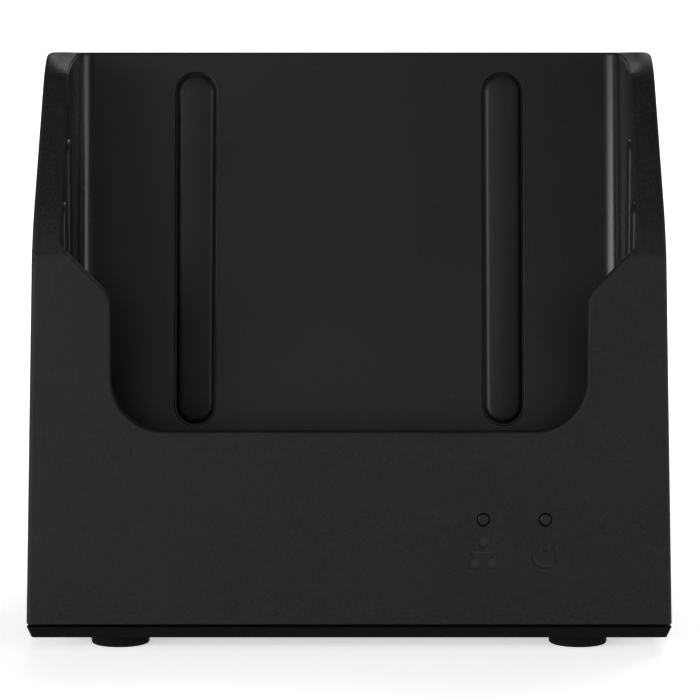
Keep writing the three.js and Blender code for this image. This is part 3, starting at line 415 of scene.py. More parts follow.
class Shell:
    """The housing's outer surface, or the same surface moved inwards by front and by wall."""

    def __init__(self, front=0.0, wall=0.0):
        s = settings("housing")
        low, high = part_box("upper_housing")
        tray_low, tray_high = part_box("base_tray")
        self.width = tray_high.x - tray_low.x
        self.depth = tray_high.y - tray_low.y
        self.base, self.top, self.crown = low.z, high.z - wall, high.z
        self.wall = wall
        y0, y1 = -self.depth / 2, self.depth / 2
        crease = s.crease_height - self.base
        crease_y = y0 + crease * math.tan(s.front_lean)
        bend_y = crease_y + s.bend_rise * math.tan(s.crease_lean)
        bend_z = s.crease_height + s.bend_rise
        brow_y = bend_y + (high.z - bend_z) * math.tan(s.slope_lean)
        self.outline = self.moved_in([
            (y0, self.base, 0, 0), (y1, self.base, 0, wall),
            (y1, s.knee_height, s.knee_radius, wall),
            (y0 + s.top_reach, high.z, s.top_rear_radius, wall),
            (brow_y, high.z, s.brow_radius, wall),
            (bend_y, bend_z, s.bend_radius, wall),
            (crease_y, s.crease_height, s.crease_radius, front)])
        peak = int(np.argmax(self.outline[:, 1]))
        rear, fore = self.outline[1:peak + 1], self.outline[peak:]
        fore = np.concatenate([fore, self.outline[:1]])[::-1]
        flat = np.isclose(fore[:, 1], self.top)
        self.fore = np.concatenate([fore[~flat], fore[flat][:1]])
        self.rear = rear
        self.front_radius = max(s.front_edge_radius - wall, 0.3 * MM)
        self.rear_radius = s.rear_edge_radius - wall
        self.top_edge = max(s.top_edge_radius - wall * 0.2, 0.3 * MM)
        self.draft = math.tan(s.side_draft)

    @staticmethod
    def moved_in(corners):
        """The side profile with each edge moved inwards by its own distance."""
        spots = np.array([c[:2] for c in corners])
        along = np.roll(spots, -1, 0) - spots
        along /= np.linalg.norm(along, axis=1)[:, None]
        inwards = np.stack([-along[:, 1], along[:, 0]], 1)
        starts = spots + inwards * np.array([c[3] for c in corners])[:, None]
        before, before_along = np.roll(starts, 1, 0), np.roll(along, 1, 0)
        gap = starts - before
        cross = lambda a, b: a[:, 0] * b[:, 1] - a[:, 1] * b[:, 0]
        share = cross(gap, along) / cross(before_along, along)
        moved = before + before_along * share[:, None]
        return rounded([(y, z, max(c[2] - c[3], 0.3 * MM) if c[2] else 0)
                        for (y, z), c in zip(moved, corners)], math.radians(0.5))

    def front_at(self, z):
        return np.interp(z, self.fore[:, 1], self.fore[:, 0])

    def rear_at(self, z):
        return np.interp(z, self.rear[:, 1], self.rear[:, 0])

    def half_at(self, z):
        """Half width: the side's straight draft, less a quarter round under the top."""
        fall = np.clip(z - (self.top - self.top_edge), 0, self.top_edge)
        curl = self.top_edge - np.sqrt(self.top_edge ** 2 - fall ** 2)
        return self.width / 2 - (z - self.base) * self.draft - self.wall - curl

    def roll_at(self, z):
        """How far the opening's edge lies behind the wing's own profile at height z: nothing
        until the roll starts, then as the square of the share of the way up."""
        s = settings("housing")
        share = np.clip(1 - (self.crown - np.asarray(z, float)) / s.roll_drop, 0, 1)
        return s.roll_reach * share ** 2

    def levels(self, extra=()):
        """Heights of the sections: close together round each arc and far apart between them."""
        s = settings("housing")
        fall = lambda radius, turn, steps: self.top - arc_fall(radius, turn, steps)
        crease = s.crease_height + np.linspace(-0.5, 0.5, 7) * s.crease_radius
        bend = s.crease_height + s.bend_rise + np.linspace(-4.2, 4.2, 8) * MM
        knee = s.knee_height + np.linspace(-2.4, 2.2, 9) * MM
        edge = self.base + arc_fall(s.bottom_edge_radius, math.pi / 2, 3)
        every = np.concatenate([
            edge, np.linspace(self.base + MM, self.top - 8 * MM, 16), crease, bend, knee,
            fall(s.brow_radius - self.wall, math.pi / 2 - s.slope_lean, 14),
            fall(s.top_rear_radius - self.wall, math.radians(66), 9),
            self.top - self.top_edge + self.top_edge * np.sin(np.linspace(0, math.pi / 2, 6)),
            [self.top], extra])
        every = np.sort(every[(every >= self.base) & (every <= self.top)])
        fixed = np.concatenate([np.atleast_1d(extra), [self.base, self.top]])
        keep = np.ones(len(every), bool)
        keep[1:] = np.diff(every) > 0.03 * MM
        near_fixed = np.min(np.abs(every[:, None] - fixed[None]), 1)
        keep &= (near_fixed == 0) | (near_fixed > 0.03 * MM)
        return np.unique(np.concatenate([every[keep], fixed]))

    def section(self, z, start, roll):
        """Half a section at each height z: from the opening's edge at x = start, round the
        right-hand edges, to the middle of the rear. The corners are quarter circles in plan, and
        the front bends back by roll times the square of the way from the corner to the edge."""
        z, start, roll = (np.asarray(v, float)[:, None] for v in (z, start, roll))
        fore, back, half = self.front_at(z), self.rear_at(z), self.half_at(z)
        fr, rr = self.front_radius, self.rear_radius
        ahead = AHEAD[None]
        turn = np.linspace(0, math.pi / 2, FRONT_CORNER + 1)[None, 1:]
        side = np.linspace(0, 1, SIDE_STEPS + 1)[None, 1:]
        sweep = np.linspace(0, math.pi / 2, REAR_CORNER + 1)[None, 1:]
        home = np.linspace(0, 1, 6)[None, 1:]
        x = np.concatenate([
            start + (half - fr - start) * ahead, half - fr + fr * np.sin(turn),
            half + 0 * side, half - rr + rr * np.cos(sweep), (half - rr) * (1 - home)], 1)
        y = np.concatenate([
            fore + roll * (1 - ahead) ** 2, fore + fr - fr * np.cos(turn),
            fore + fr + (back - rr - fore - fr) * side, back - rr + rr * np.sin(sweep),
            back + 0 * home], 1)
        return np.stack([x, y, np.broadcast_to(z, x.shape)], -1)


def both_sides(half):
    """A right-hand half section joined to its mirror image, ending at the left-hand front."""
    return np.concatenate([half, (half * [-1, 1, 1])[:, -2::-1]], 1)


def cutout_edge(grow):
    """Right-hand half of the cut-out's outline (x, z), moved into the front by grow."""
    s, pocket = settings("cutout"), pocket_half()
    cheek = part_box("base_tray")[1].x - s.cheek
    shoulder = s.shoulder_height
    return rounded([
        (0, s.bottom - grow, 0), (cheek + grow, s.bottom - grow, s.corner_radius + grow),
        (cheek + grow, shoulder - grow * math.tan(math.radians(22.5)), s.shoulder_radius - grow),
        (pocket + grow, shoulder + pocket - cheek - grow * math.tan(math.radians(22.5)),
         s.shoulder_radius + grow),
        (pocket + grow, 1.0, 0)], math.radians(5))


def pocket_half():
    """Half width of the pocket: the liner's own half width less its wall."""
    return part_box("pocket_liner")[1].x - settings("pocket").wall


def pocket_back(z):
    """The back wall's place at height z: it leans back from the pocket's floor."""
    s = settings("pocket")
    front = -(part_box("base_tray")[1].y)
    return front + s.reach + (z - s.floor) * math.tan(s.back_lean)


def housing_skin(shell, levels, heights, edge, grow):
    """The skin as grids. Each row is a section that starts on the cut-out's outline; rows below
    the cut-out start at the end of its straight bottom edge, and the chin fills the front between
    them. Above the last section flat rows run from the top's outline in to the pocket's mouth."""
    bottom_z, bottom_x = edge[1, 1], edge[1, 0]
    outline_x = np.interp(levels, edge[1:, 1], edge[1:, 0])
    start = np.where(levels <= bottom_z + 1e-9, bottom_x, outline_x)
    walls = both_sides(shell.section(heights, start, shell.roll_at(levels)))
    below = levels <= bottom_z + 1e-9
    across = np.linspace(-bottom_x, bottom_x, 9)
    z = heights[below][:, None]
    chin = np.stack(np.broadcast_arrays(across[None], shell.front_at(z), z), -1)
    half, radius = pocket_half() + grow, settings("pocket").back_radius + grow
    rim_y, back_y = walls[-1, 0, 1], pocket_back(heights[-1]) + grow
    t = np.linspace(0, 1, SIDE_END)[:, None]
    turn = np.linspace(0, math.pi / 2, REAR_CORNER + 1)[1:, None]
    home = np.linspace(0, 1, 6)[1:, None]
    x = np.concatenate([half + 0 * t, half - radius + radius * np.cos(turn),
                        (half - radius) * (1 - home)])
    y = np.concatenate([rim_y + (back_y - radius - rim_y) * t,
                        back_y - radius + radius * np.sin(turn), back_y + 0 * home])
    mouth = both_sides(np.stack([x, y, np.full_like(x, heights[-1])], -1)[None, :, 0])[0]
    share = np.array([0, 0.2, 0.5, 0.8, 1])[:, None, None]
    lid = walls[-1][None] * (1 - share) + mouth[None] * share
    loop = np.concatenate([chin[-1], walls[below.sum():, 0], mouth[1:],
                           walls[below.sum():-1, -1][::-1]])
    return walls, chin, lid, loop


def surface_normals(shell, loop):
    """Outward normals of the front, slope or top at the opening's edge. With y = profile(z) +
    roll(z) * share(x) squared, the normal runs along (dy/dx, -1, dy/dz)."""
    step = 0.02 * MM
    x, z = loop[:, 0], loop[:, 2]
    front_y = lambda height: shell.front_at(height) + shell.roll_at(height)
    rise = (front_y(z + step) - front_y(z - step)) / (2 * step)
    width = shell.half_at(z) - shell.front_radius - np.abs(x)
    across = -2 * shell.roll_at(z) / width * np.sign(x)
    normal = np.stack([across, -np.ones_like(z), rise], 1)
    normal[z > shell.top - 1e-6] = [0, 0, 1]
    return normal / np.linalg.norm(normal, axis=1)[:, None]


def bezier(a, corner, b, steps):
    """A round between a and b, tangent to both lines that meet at corner."""
    t = np.linspace(0, 1, steps + 1)[:, None, None]
    return (1 - t) ** 2 * a + 2 * t * (1 - t) * corner + t ** 2 * b


def build_housing(finishes):
    s = settings("housing")
    outer = Shell()
    inner = Shell(s.front_wall, s.wall)
    grow = s.rim_radius
    edge = cutout_edge(grow)
    levels = outer.levels(edge[(edge[:, 1] < outer.top), 1])
    fold = np.clip((levels - LID_FROM) / (outer.top - LID_FROM), 0, 1)
    walls, chin, lid, loop = housing_skin(outer, levels, levels, edge, grow)
    inside = housing_skin(inner, levels, levels - s.wall * fold, edge, grow)
    # The inner loop lies rim_depth under the skin where the liner comes up to the edge.
    forward = np.roll(loop, -1, 0) - np.roll(loop, 1, 0)
    forward /= np.linalg.norm(forward, axis=1)[:, None]
    normal = surface_normals(outer, loop)
    away = np.cross(forward, normal)
    away /= np.linalg.norm(away, axis=1)[:, None]
    corner = loop - away * grow
    in_front = np.clip((loop[:, 2] - RIM_FROM) / RIM_OVER, 0, 1)[:, None]
    under = inside[3]
    shallow = corner - normal * s.rim_depth
    inner_corner = (under - away * grow) * (1 - in_front) + shallow * in_front
    down = inner_corner - corner
    down /= np.linalg.norm(down, axis=1)[:, None]
    rim = np.concatenate([
        bezier(loop, corner, corner + down * grow, 6),
        (inner_corner - down * 0.02 * MM)[None],
        bezier(inner_corner, inner_corner, inner_corner + away * 0.05 * MM, 1)[1:],
        under[None]])
    bottom_out = np.concatenate([walls[0], chin[0][1:-1]])
    bottom_in = np.concatenate([inside[0][0], inside[1][0][1:-1]])
    ring = np.stack([bottom_out, bottom_in])
    housing = piece("upper_housing_moulding", [
        (walls,), (chin,), (lid,), (inside[0],), (inside[1],), (inside[2],),
        (rim, False, True), (ring, False, True)])
    cut(marked(housing, finishes, 0), housing_cutters(outer, finishes))
    return smooth(housing, 28)


def housing_cutters(shell, finishes):
    """Round holes for the light pipes, the moulded symbols, and the jack windows in the rear."""
    s = settings("lights")
    cutters = []
    for name in ("network", "power"):
        x, _, z = spot(f"{name}_light_pipe")[2]
        radius = LENS_RADIUS + s.hole_gap
        face = float(shell.front_at(z))
        mouth = 0.12 * MM
        profile = [(0, -2 * MM), (radius + mouth, -2 * MM), (radius + mouth, 0),
                   (radius + mouth * 0.3, mouth * 0.3), (radius, mouth), (radius, 5 * MM), (0, 5 * MM)]
        cutters.append(turned_piece(f"{name}_hole", profile, (x, face, z), (0, 1, 0), 48))
        cutters += [marked(symbol, finishes, 1)
                    for symbol in SYMBOLS[name](shell, x, z - s.symbol_drop)]
    rear = shell.depth / 2
    x, _, z = spot("network_jack")[2]
    window = rounded([(x + a * PORT_HALF_WIDTH, z + b * PORT_HALF_HEIGHT, 0.6 * MM)
                      for a, b in ((-1, -1), (1, -1), (1, 1), (-1, 1))], math.radians(15))
    cutters.append(prism("network_window", window, rear - 5 * MM, rear + 2 * MM))
    x, _, z = spot("power_jack_pin")[2]
    profile = [(0, -5 * MM), (PLUG_WINDOW_RADIUS, -5 * MM), (PLUG_WINDOW_RADIUS, -0.3 * MM),
               (PLUG_WINDOW_RADIUS + 0.3 * MM, 0), (PLUG_WINDOW_RADIUS + 0.3 * MM, 2 * MM), (0, 2 * MM)]
    cutters.append(turned_piece("plug_window", profile, (x, rear, z), (0, 1, 0), 64))
    return cutters


def prism(name, outline, y0, y1):
    """A closed shape with an outline (x, z) carried along Y, with flat ends."""
    x, z = outline[:, 0], outline[:, 1]
    rows = np.stack([np.stack([x, np.full_like(x, y), z], -1) for y in (y0, y1)])
    return piece(name, [(rows, False, True)], caps=[rows[0], rows[1]])


def symbol_prism(name, shell, outline, middle):
    """An outline in millimetres about a symbol's middle, sunk into the leaning front."""
    x, z = middle
    depth = settings("lights").symbol_depth
    points = np.array(outline) * MM + [x, z]
    face = shell.front_at(points[:, 1])
    rows = np.stack([np.stack([points[:, 0], face + shift, points[:, 1]], -1)
                     for shift in (-MM, depth)])
    return piece(name, [(rows, False, True)], caps=[rows[0], rows[1]])


def network_symbol(shell, x, z):
    """A box on top, a bar below it and two boxes under the bar, joined by short stems."""
    tree = [(-1.7, -1.0), (-1.3, -1.0), (-1.3, -0.3), (1.3, -0.3), (1.3, -1.0), (1.7, -1.0),
            (1.7, -0.3), (2.3, -0.3), (2.3, 0.3), (0.25, 0.3), (0.25, 1.25), (0.85, 1.25),
            (0.85, 2.85), (-0.85, 2.85), (-0.85, 1.25), (-0.25, 1.25), (-0.25, 0.3), (-2.3, 0.3),
            (-2.3, -0.3), (-1.7, -0.3)]
    boxes = [[(side * 1.5 - 0.9, -2.75), (side * 1.5 + 0.9, -2.75), (side * 1.5 + 0.9, -0.99),
              (side * 1.5 - 0.9, -0.99)] for side in (-1, 1)]
    return [symbol_prism(f"network_symbol_{i}", shell, shape, (x, z))
            for i, shape in enumerate([tree] + boxes)]


def power_symbol(shell, x, z):
    """A ring open at the top, with an upright bar in the gap."""
    t = np.radians(np.linspace(90 + 38, 90 + 322, 40))
    outer = np.stack([2.35 * np.cos(t), 2.35 * np.sin(t)], 1)
    inner = np.stack([1.65 * np.cos(t), 1.65 * np.sin(t)], 1)[::-1]
    ring = np.concatenate([outer, inner]) - [0, 0.3]
    bar = [(-0.36, 0.2), (0.36, 0.2), (0.36, 2.6), (-0.36, 2.6)]
    return [symbol_prism(f"power_symbol_{i}", shell, shape, (x, z))
            for i, shape in enumerate([ring, bar])]


SYMBOLS = {"network": network_symbol, "power": power_symbol}


# ------------------------------------------------------------------ the pocket


def build_liner():
    """The pocket's inside as sections: from the housing's front back along the side wall, round
    the corner and along the leaning back wall; thickened outwards, with beds for the pads."""
    s, housing = settings("pocket"), settings("housing")
    roof = Shell(housing.front_wall, housing.rim_depth + 0.04 * MM)
    edge_z = np.linspace(settings("cutout").bottom - 4 * MM, roof.crown, 400)
    edge = np.stack([Shell().front_at(edge_z) + roof.roll_at(edge_z), edge_z], 1)
    along = np.gradient(edge, axis=0)
    along /= np.linalg.norm(along, axis=1)[:, None]
    under = edge + np.stack([along[:, 1], -along[:, 0]], 1) * (housing.rim_depth + 0.04 * MM)
    half, front = pocket_half(), float(roof.front_at(settings("cutout").bottom)) + s.gap + s.wall
    lip = settings("cutout").bottom - s.lip_drop
    foot = s.floor + arc_fall(s.floor_radius, math.pi / 2, 5)
    levels = np.unique(np.concatenate([
        foot, [lip - 0.02 * MM, lip], np.linspace(lip + MM, roof.top - 6 * MM, 14),
        roof.top - arc_fall(housing.brow_radius, math.pi / 2 - housing.slope_lean, 14)]))
    levels = levels[(levels >= s.floor) & (levels <= roof.top)]
    inset = s.floor_radius - np.sqrt(np.clip(
        s.floor_radius ** 2 - np.clip(s.floor + s.floor_radius - levels, 0, None) ** 2, 0, None))
    back = pocket_back(levels) - inset
    hidden = np.minimum(np.interp(levels, under[:, 1], under[:, 0]), back - s.back_radius - 0.1 * MM)
    start = np.where(levels < lip - 0.01 * MM, front + inset, hidden)
    side = (half - inset)[:, None]
    radius = s.back_radius
    run = np.linspace(0, 1, 9)[None]
    turn = np.linspace(0, math.pi / 2, 15)[None, 1:]
    home = np.linspace(0, 1, 6)[None, 1:]
    x = np.concatenate([side + 0 * run, side - radius + radius * np.cos(turn),
                        (side - radius) * (1 - home)], 1)
    y = np.concatenate([start[:, None] + (back - radius - start)[:, None] * run,
                        back[:, None] - radius + radius * np.sin(turn), back[:, None] + 0 * home], 1)
    walls = both_sides(np.stack([x, y, np.broadcast_to(levels[:, None], x.shape)], -1))
    low = levels < lip - 0.01 * MM
    across = np.linspace(-1, 1, 9)[None]
    lip_rows = np.stack(np.broadcast_arrays(side[low] * across, start[low][:, None],
                                            levels[low][:, None]), -1)
    floor_loop = np.concatenate([walls[0], lip_rows[0][1:-1]])
    liner = piece("pocket_liner_moulding", [(walls,), (lip_rows,)], caps=[floor_loop], closed=False)
    face_inwards(liner)
    shell = liner.modifiers.new("wall", "SOLIDIFY")
    shell.thickness = s.wall
    shell.offset = -1
    shell.use_even_offset = True
    applied(liner)
    cut(liner, pad_beds() + [nose_slot()])
    return smooth(liner, 30)


def face_inwards(obj):
    """Turns an open tub's faces towards its inside, told by the face nearest its floor's middle."""
    work = bmesh.new()
    work.from_mesh(obj.data)
    bmesh.ops.recalc_face_normals(work, faces=work.faces)
    work.faces.ensure_lookup_table()
    floor = min(work.faces, key=lambda face: face.calc_center_median().z)
    if floor.normal.z < 0:
        bmesh.ops.reverse_faces(work, faces=work.faces)
    work.to_mesh(obj.data)
    work.free()


def nose_slot():
    """The opening in the pocket's floor that the contact block's nose stands in."""
    gap, floor = settings("pocket").gap, settings("pocket").floor
    nose_half, depth_half = CONTACT_NOSE
    y = spot("contact_block")[2][1]
    return piece("nose_slot", box_points((-nose_half - gap, y - depth_half - gap, floor - 5 * MM),
                                         (nose_half + gap, y + depth_half + gap, floor + MM)))


def pill(half_width, low, high, steps=24):
    """Points of a pill outline, in order round it: two half circles joined by straight sides."""
    t = np.linspace(-math.pi, 0, steps + 1)
    lower = np.stack([half_width * np.cos(t), low + half_width + half_width * np.sin(t)], 1)
    upper = np.stack([-half_width * np.cos(t), high - half_width - half_width * np.sin(t)], 1)
    straight = np.linspace(0, 1, 12)[1:-1, None]
    right = lower[-1] + (upper[0] - lower[-1]) * straight
    left = upper[-1] + (lower[0] - upper[-1]) * straight
    return np.concatenate([lower, right, upper, left])


def pill_rows(half_width, low, high, profile):
    """Rows of a pad from a profile of (inset, height) points: each row is the pill's outline
    drawn in by its inset, lifted by its height. The last row closes on the middle line."""
    rows = []
    for inset, height in profile:
        inset = min(inset, half_width * 0.9999)
        flat = pill(half_width - inset, low + inset, high - inset)
        rows.append(np.concatenate([flat, np.full((len(flat), 1), height)], 1))
    return np.stack(rows)


def pad_profile(bottom, rise, edge, half_width, crown):
    """Side wall, a quarter round of the given edge, then a gentle crown to the middle."""
    t = np.linspace(0, math.pi / 2, 8)
    shoulder = np.stack([edge * (1 - np.cos(t)), rise - crown - edge * (1 - np.sin(t))], 1)
    across = np.linspace(0, 1, 6)[1:, None]
    inset = edge + (half_width - edge) * across
    crowned = np.concatenate([inset, rise - crown * (1 - across) ** 2], 1)
    return np.concatenate([[[0, bottom]], shoulder, crowned])


def bed_profile(depth, flare):
    """A cutter's profile: straight up from the bed's floor, then flaring at the mouth."""
    t = np.linspace(0, math.pi / 2, 5)
    mouth = np.stack([-flare * (1 - np.cos(t)), flare * (np.sin(t) - 1)], 1)
    return np.concatenate([[[0, -depth]], mouth, [[-flare, MM]]])


def lean_axes():
    """The leaning back wall's axes: across, up the wall and out of it, and its foot."""
    s = settings("pocket")
    lean = s.back_lean
    across = np.array([1.0, 0, 0])
    up = np.array([0, math.sin(lean), math.cos(lean)])
    foot = np.array([0, pocket_back(s.floor), s.floor])
    return across, up, np.cross(across, up), foot


def side_axes(side):
    """A side wall's axes: along the cradle, up, and out of the wall into the pocket."""
    foot = np.array([side * pocket_half(), 0, 0])
    return np.array([0, 1.0, 0]), np.array([0, 0, 1.0]), np.array([-side, 0, 0]), foot


def placed(rows, axes):
    """Rows of (across, up, out) set on a wall: foot + across, up and out along its axes."""
    across, up, out, foot = axes
    return foot + rows[..., :1] * across + rows[..., 1:2] * up + rows[..., 2:] * out


def pad_places():
    """Each pad's name, wall axes, middle, foot, top, half width, rise and edge round."""
    s, pocket = settings("pads"), settings("pocket")
    lean = math.cos(pocket.back_lean)
    places = []
    for side in ("left", "right"):
        low, high, middle = spot(f"back_pad_{side}")
        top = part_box("upper_housing")[1].z - s.top_margin
        places.append((f"back_pad_{side}", lean_axes(), middle[0],
                       s.floor_margin / lean, (top - pocket.floor) / lean,
                       (high.x - low.x) / 2, s.back_rise, s.back_edge))
        for end in ("front", "rear"):
            low, high, middle = spot(f"side_pad_{side}_{end}")
            places.append((f"side_pad_{side}_{end}", side_axes(math.copysign(1, low.x)),
                           middle[1], low.z, high.z, (high.y - low.y) / 2,
                           s.side_rise, s.side_edge))
    return places


def pad_beds():
    """Cutters for the shallow beds that the pads lie in."""
    s = settings("pads")
    beds = []
    for name, axes, middle, low, high, half, _, _ in pad_places():
        rows = pill_rows(half + s.gap, low - s.gap, high + s.gap, bed_profile(s.bed, 0.15 * MM))
        rows[..., 0] += middle
        rows = placed(rows, axes)
        beds.append(piece(f"{name}_bed", [(rows, False, True)], caps=[rows[0], rows[-1]]))
    return beds


def build_pads():
    s = settings("pads")
    made = {}
    for name, axes, middle, low, high, half, rise, edge in pad_places():
        profile = pad_profile(-s.bed + 0.1 * MM, rise, edge, half, 0.12 * MM)
        rows = pill_rows(half, low, high, profile)
        rows[..., 0] += middle
        rows = placed(rows, axes)
        made[name] = smooth(piece(f"{name}_moulding", [(rows, False, True)], caps=[rows[0]]), 50)
    return made


# ------------------------------------------------------------------ base


def tray_section(half_x, half_y, z, radii, steps=14):
    """A rounded rectangle at height z: quarter circles of the front and rear radii."""
    corners = [(-half_x, -half_y, radii[0]), (half_x, -half_y, radii[0]),
               (half_x, half_y, radii[1]), (-half_x, half_y, radii[1])]
    parts = []
    for (x, y, radius), begin in zip(corners, (180, 270, 0, 90)):
        t = np.radians(np.linspace(begin, begin + 90, steps + 1))
        centre = np.array([x - math.copysign(radius, x), y - math.copysign(radius, y)])
        parts.append(centre + radius * np.stack([np.cos(t), np.sin(t)], 1))
    flat = np.concatenate(parts)
    return np.concatenate([flat, np.full((len(flat), 1), z)], 1)


def build_tray():
    """The tray as stacked sections: underside, bevel, upright edge, top and the lip that stands
    inside the housing; with beds for the feet and counterbores for the case screws."""
    s, housing = settings("base"), settings("housing")
    low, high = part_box("base_tray")
    half_x, half_y = high.x, high.y
    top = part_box("upper_housing")[0].z - PARTING_GAP
    front, rear, r = housing.front_edge_radius, s.rear_radius, s.edge_radius
    bottom = low.z
    turn = np.linspace(0, math.pi / 2, 5)
    profile = [(s.bevel + r, bottom), (s.bevel + 0.4 * r, bottom + 0.1 * r), (s.bevel, bottom + 0.5 * r),
               (0.5 * r, top - 1.6 * r), (0.1 * r, top - 1.2 * r)]
    profile += [(r * (1 - math.cos(t)), top - r + r * math.sin(t)) for t in turn]
    lip_in = housing.wall + 0.3 * MM
    profile += [(lip_in, top), (lip_in, top + s.spigot_height),
                (lip_in + s.spigot_wall, top + s.spigot_height), (lip_in + s.spigot_wall, top)]
    rows = np.stack([tray_section(half_x - inset, half_y - inset, z,
                                  (max(front - 0.3 * inset, 0.3 * MM), rear - inset))
                     for inset, z in profile])
    tray = piece("base_tray_moulding", [(rows, False, True)], caps=[rows[0], rows[-1]])
    cut(tray, tray_cutters(bottom))
    return smooth(tray, 28)


def tray_cutters(bottom):
    """Cutters for the feet's beds and the case screws' counterbores."""
    s = settings("base")
    cutters = []
    for corner in CORNERS:
        low, high, (x, y, _) = spot(f"foot_{corner}")
        radius, bed = (high.x - low.x) / 2 + s.foot_gap, high.z - bottom + s.foot_gap
        cutters.append(round_hole(f"foot_bed_{corner}", (x, y, bottom), radius, bed))
        low, high, (x, y, _) = spot(f"case_screw_{corner}")
        radius = (high.x - low.x) / 2 + 0.3 * MM
        cutters.append(round_hole(f"counterbore_{corner}", (x, y, bottom), radius, 5 * MM))
    return cutters


def round_hole(name, centre, radius, depth, flare=0.15 * MM):
    """A round cutter from below, flaring at its mouth."""
    profile = [(0, -MM), (radius + flare, -MM), (radius + flare, 0),
               (radius + 0.3 * flare, 0.3 * flare), (radius, flare), (radius, depth), (0, depth)]
    return turned_piece(name, profile, centre, (0, 0, 1), 64)


def build_feet():
    """Each foot turned about its own middle: a slightly dished underside, a rounded lower edge, a
    straight side and a flat top."""
    s = settings("base")
    made = {}
    for corner in CORNERS:
        low, high, (x, y, _) = spot(f"foot_{corner}")
        radius, tall = (high.x - low.x) / 2, high.z - low.z
        edge = [(radius - s.foot_edge + s.foot_edge * math.sin(a),
                 s.foot_edge * (1 - math.cos(a))) for a in np.linspace(0, math.pi / 2, 7)]
        profile = [(0, 0.12 * MM), (radius * 0.55, 0.12 * MM), (radius * 0.62, 0.02 * MM)] + edge
        profile += [(radius, tall - 0.1 * MM), (radius - 0.1 * MM, tall), (0, tall)]
        foot = turned_piece(f"foot_{corner}_rubber", profile, (x, y, low.z), (0, 0, 1), 72)
        made[f"foot_{corner}"] = smooth(foot, 35)
    return made


# ------------------------------------------------------------------ lights and contacts


def build_light_pipes():
    """Each pipe turned about its own axis: a crowned lens, a rounded edge, the stem and the
    flange behind the front wall."""
    s = settings("lights")
    made = {}
    for name in ("network", "power"):
        low, high, (x, _, z) = spot(f"{name}_light_pipe")
        flange = (high.x - low.x) / 2
        face, length = low.y, high.y - low.y
        r, edge = LENS_RADIUS, s.lens_edge
        t = np.linspace(0, 1, 6)
        crown = [((r - edge) * u, s.lens_dome * u * u * 0.5) for u in t]
        round_edge = [(r - edge + edge * math.sin(a), s.lens_dome * 0.5 + edge * (1 - math.cos(a)))
                      for a in np.linspace(0.2, math.pi / 2, 5)]
        profile = crown + round_edge + [
            (r, FLANGE_FRONT), (flange, FLANGE_FRONT), (flange, FLANGE_FRONT + MM),
            (r, FLANGE_FRONT + MM), (r, length), (0, length)]
        pipe = turned_piece(f"{name}_light_pipe_moulding", profile, (x, face, z), (0, 1, 0), 48)
        made[f"{name}_light_pipe"] = smooth(pipe, 40)
    return made


def build_plungers():
    """Each plunger turned about its own axis: a domed tip, the stem, the flange and the tail."""
    made = {}
    for number in range(1, CONTACT_COUNT + 1):
        low, high, (x, y, _) = spot(f"contact_plunger_{number}")
        tall, flange = high.z - low.z, (high.x - low.x) / 2
        dome = [(STEM_RADIUS * math.cos(a), tall - STEM_RADIUS * 0.9 * (1 - math.sin(a)))
                for a in np.linspace(0, math.pi / 2, 7)]
        profile = [(0, 0), (TAIL_RADIUS * 0.8, 0), (TAIL_RADIUS, 0.1 * MM), (TAIL_RADIUS, TAIL_LENGTH),
                   (flange - 0.08 * MM, TAIL_LENGTH), (flange, TAIL_LENGTH + 0.08 * MM),
                   (flange, TAIL_LENGTH + 0.82 * MM), (flange - 0.08 * MM, TAIL_LENGTH + 0.9 * MM),
                   (STEM_RADIUS, TAIL_LENGTH + 0.9 * MM)] + dome
        made[number] = smooth(turned_piece(f"contact_plunger_{number}_turned", profile,
                                           (x, y, low.z), (0, 0, 1), 40), 35)
    return made


def build_springs():
    """Each coil a round wire carried along a helix: the wire's circle lies across the helix's
    tangent; its pitch closes up over the first and last turn."""
    made = {}
    for number in range(1, CONTACT_COUNT + 1):
        low, high, (x, y, _) = spot(f"contact_spring_{number}")
        wire = WIRE_RADIUS
        radius = (high.x - low.x) / 2 - wire
        turns = np.linspace(0, 1, SPRING_TURNS * 20 + 1) * SPRING_TURNS
        turn = turns * 2 * math.pi
        share = np.clip((turns - 1) / (SPRING_TURNS - 2), 0, 1)
        ends = wire * 2 * (np.clip(turns, 0, 1) + np.clip(turns - (SPRING_TURNS - 1), 0, 1))
        z = low.z + wire + ends + share * (high.z - low.z - 6 * wire)
        path = np.stack([x + radius * np.cos(turn), y + radius * np.sin(turn), z], 1)
        ahead = np.gradient(path, axis=0)
        ahead /= np.linalg.norm(ahead, axis=1)[:, None]
        outward = np.stack([np.cos(turn), np.sin(turn), 0 * turn], 1)
        side = np.cross(ahead, outward)
        ring = np.linspace(0, 2 * math.pi, 10, endpoint=False)[None, :, None]
        rows = path[:, None] + wire * (np.cos(ring) * outward[:, None] + np.sin(ring) * side[:, None])
        made[number] = smooth(piece(f"contact_spring_{number}_coil", [(rows, False, True)],
                                    caps=[rows[0], rows[-1]]), 60)
    return made


# ------------------------------------------------------------------ materials


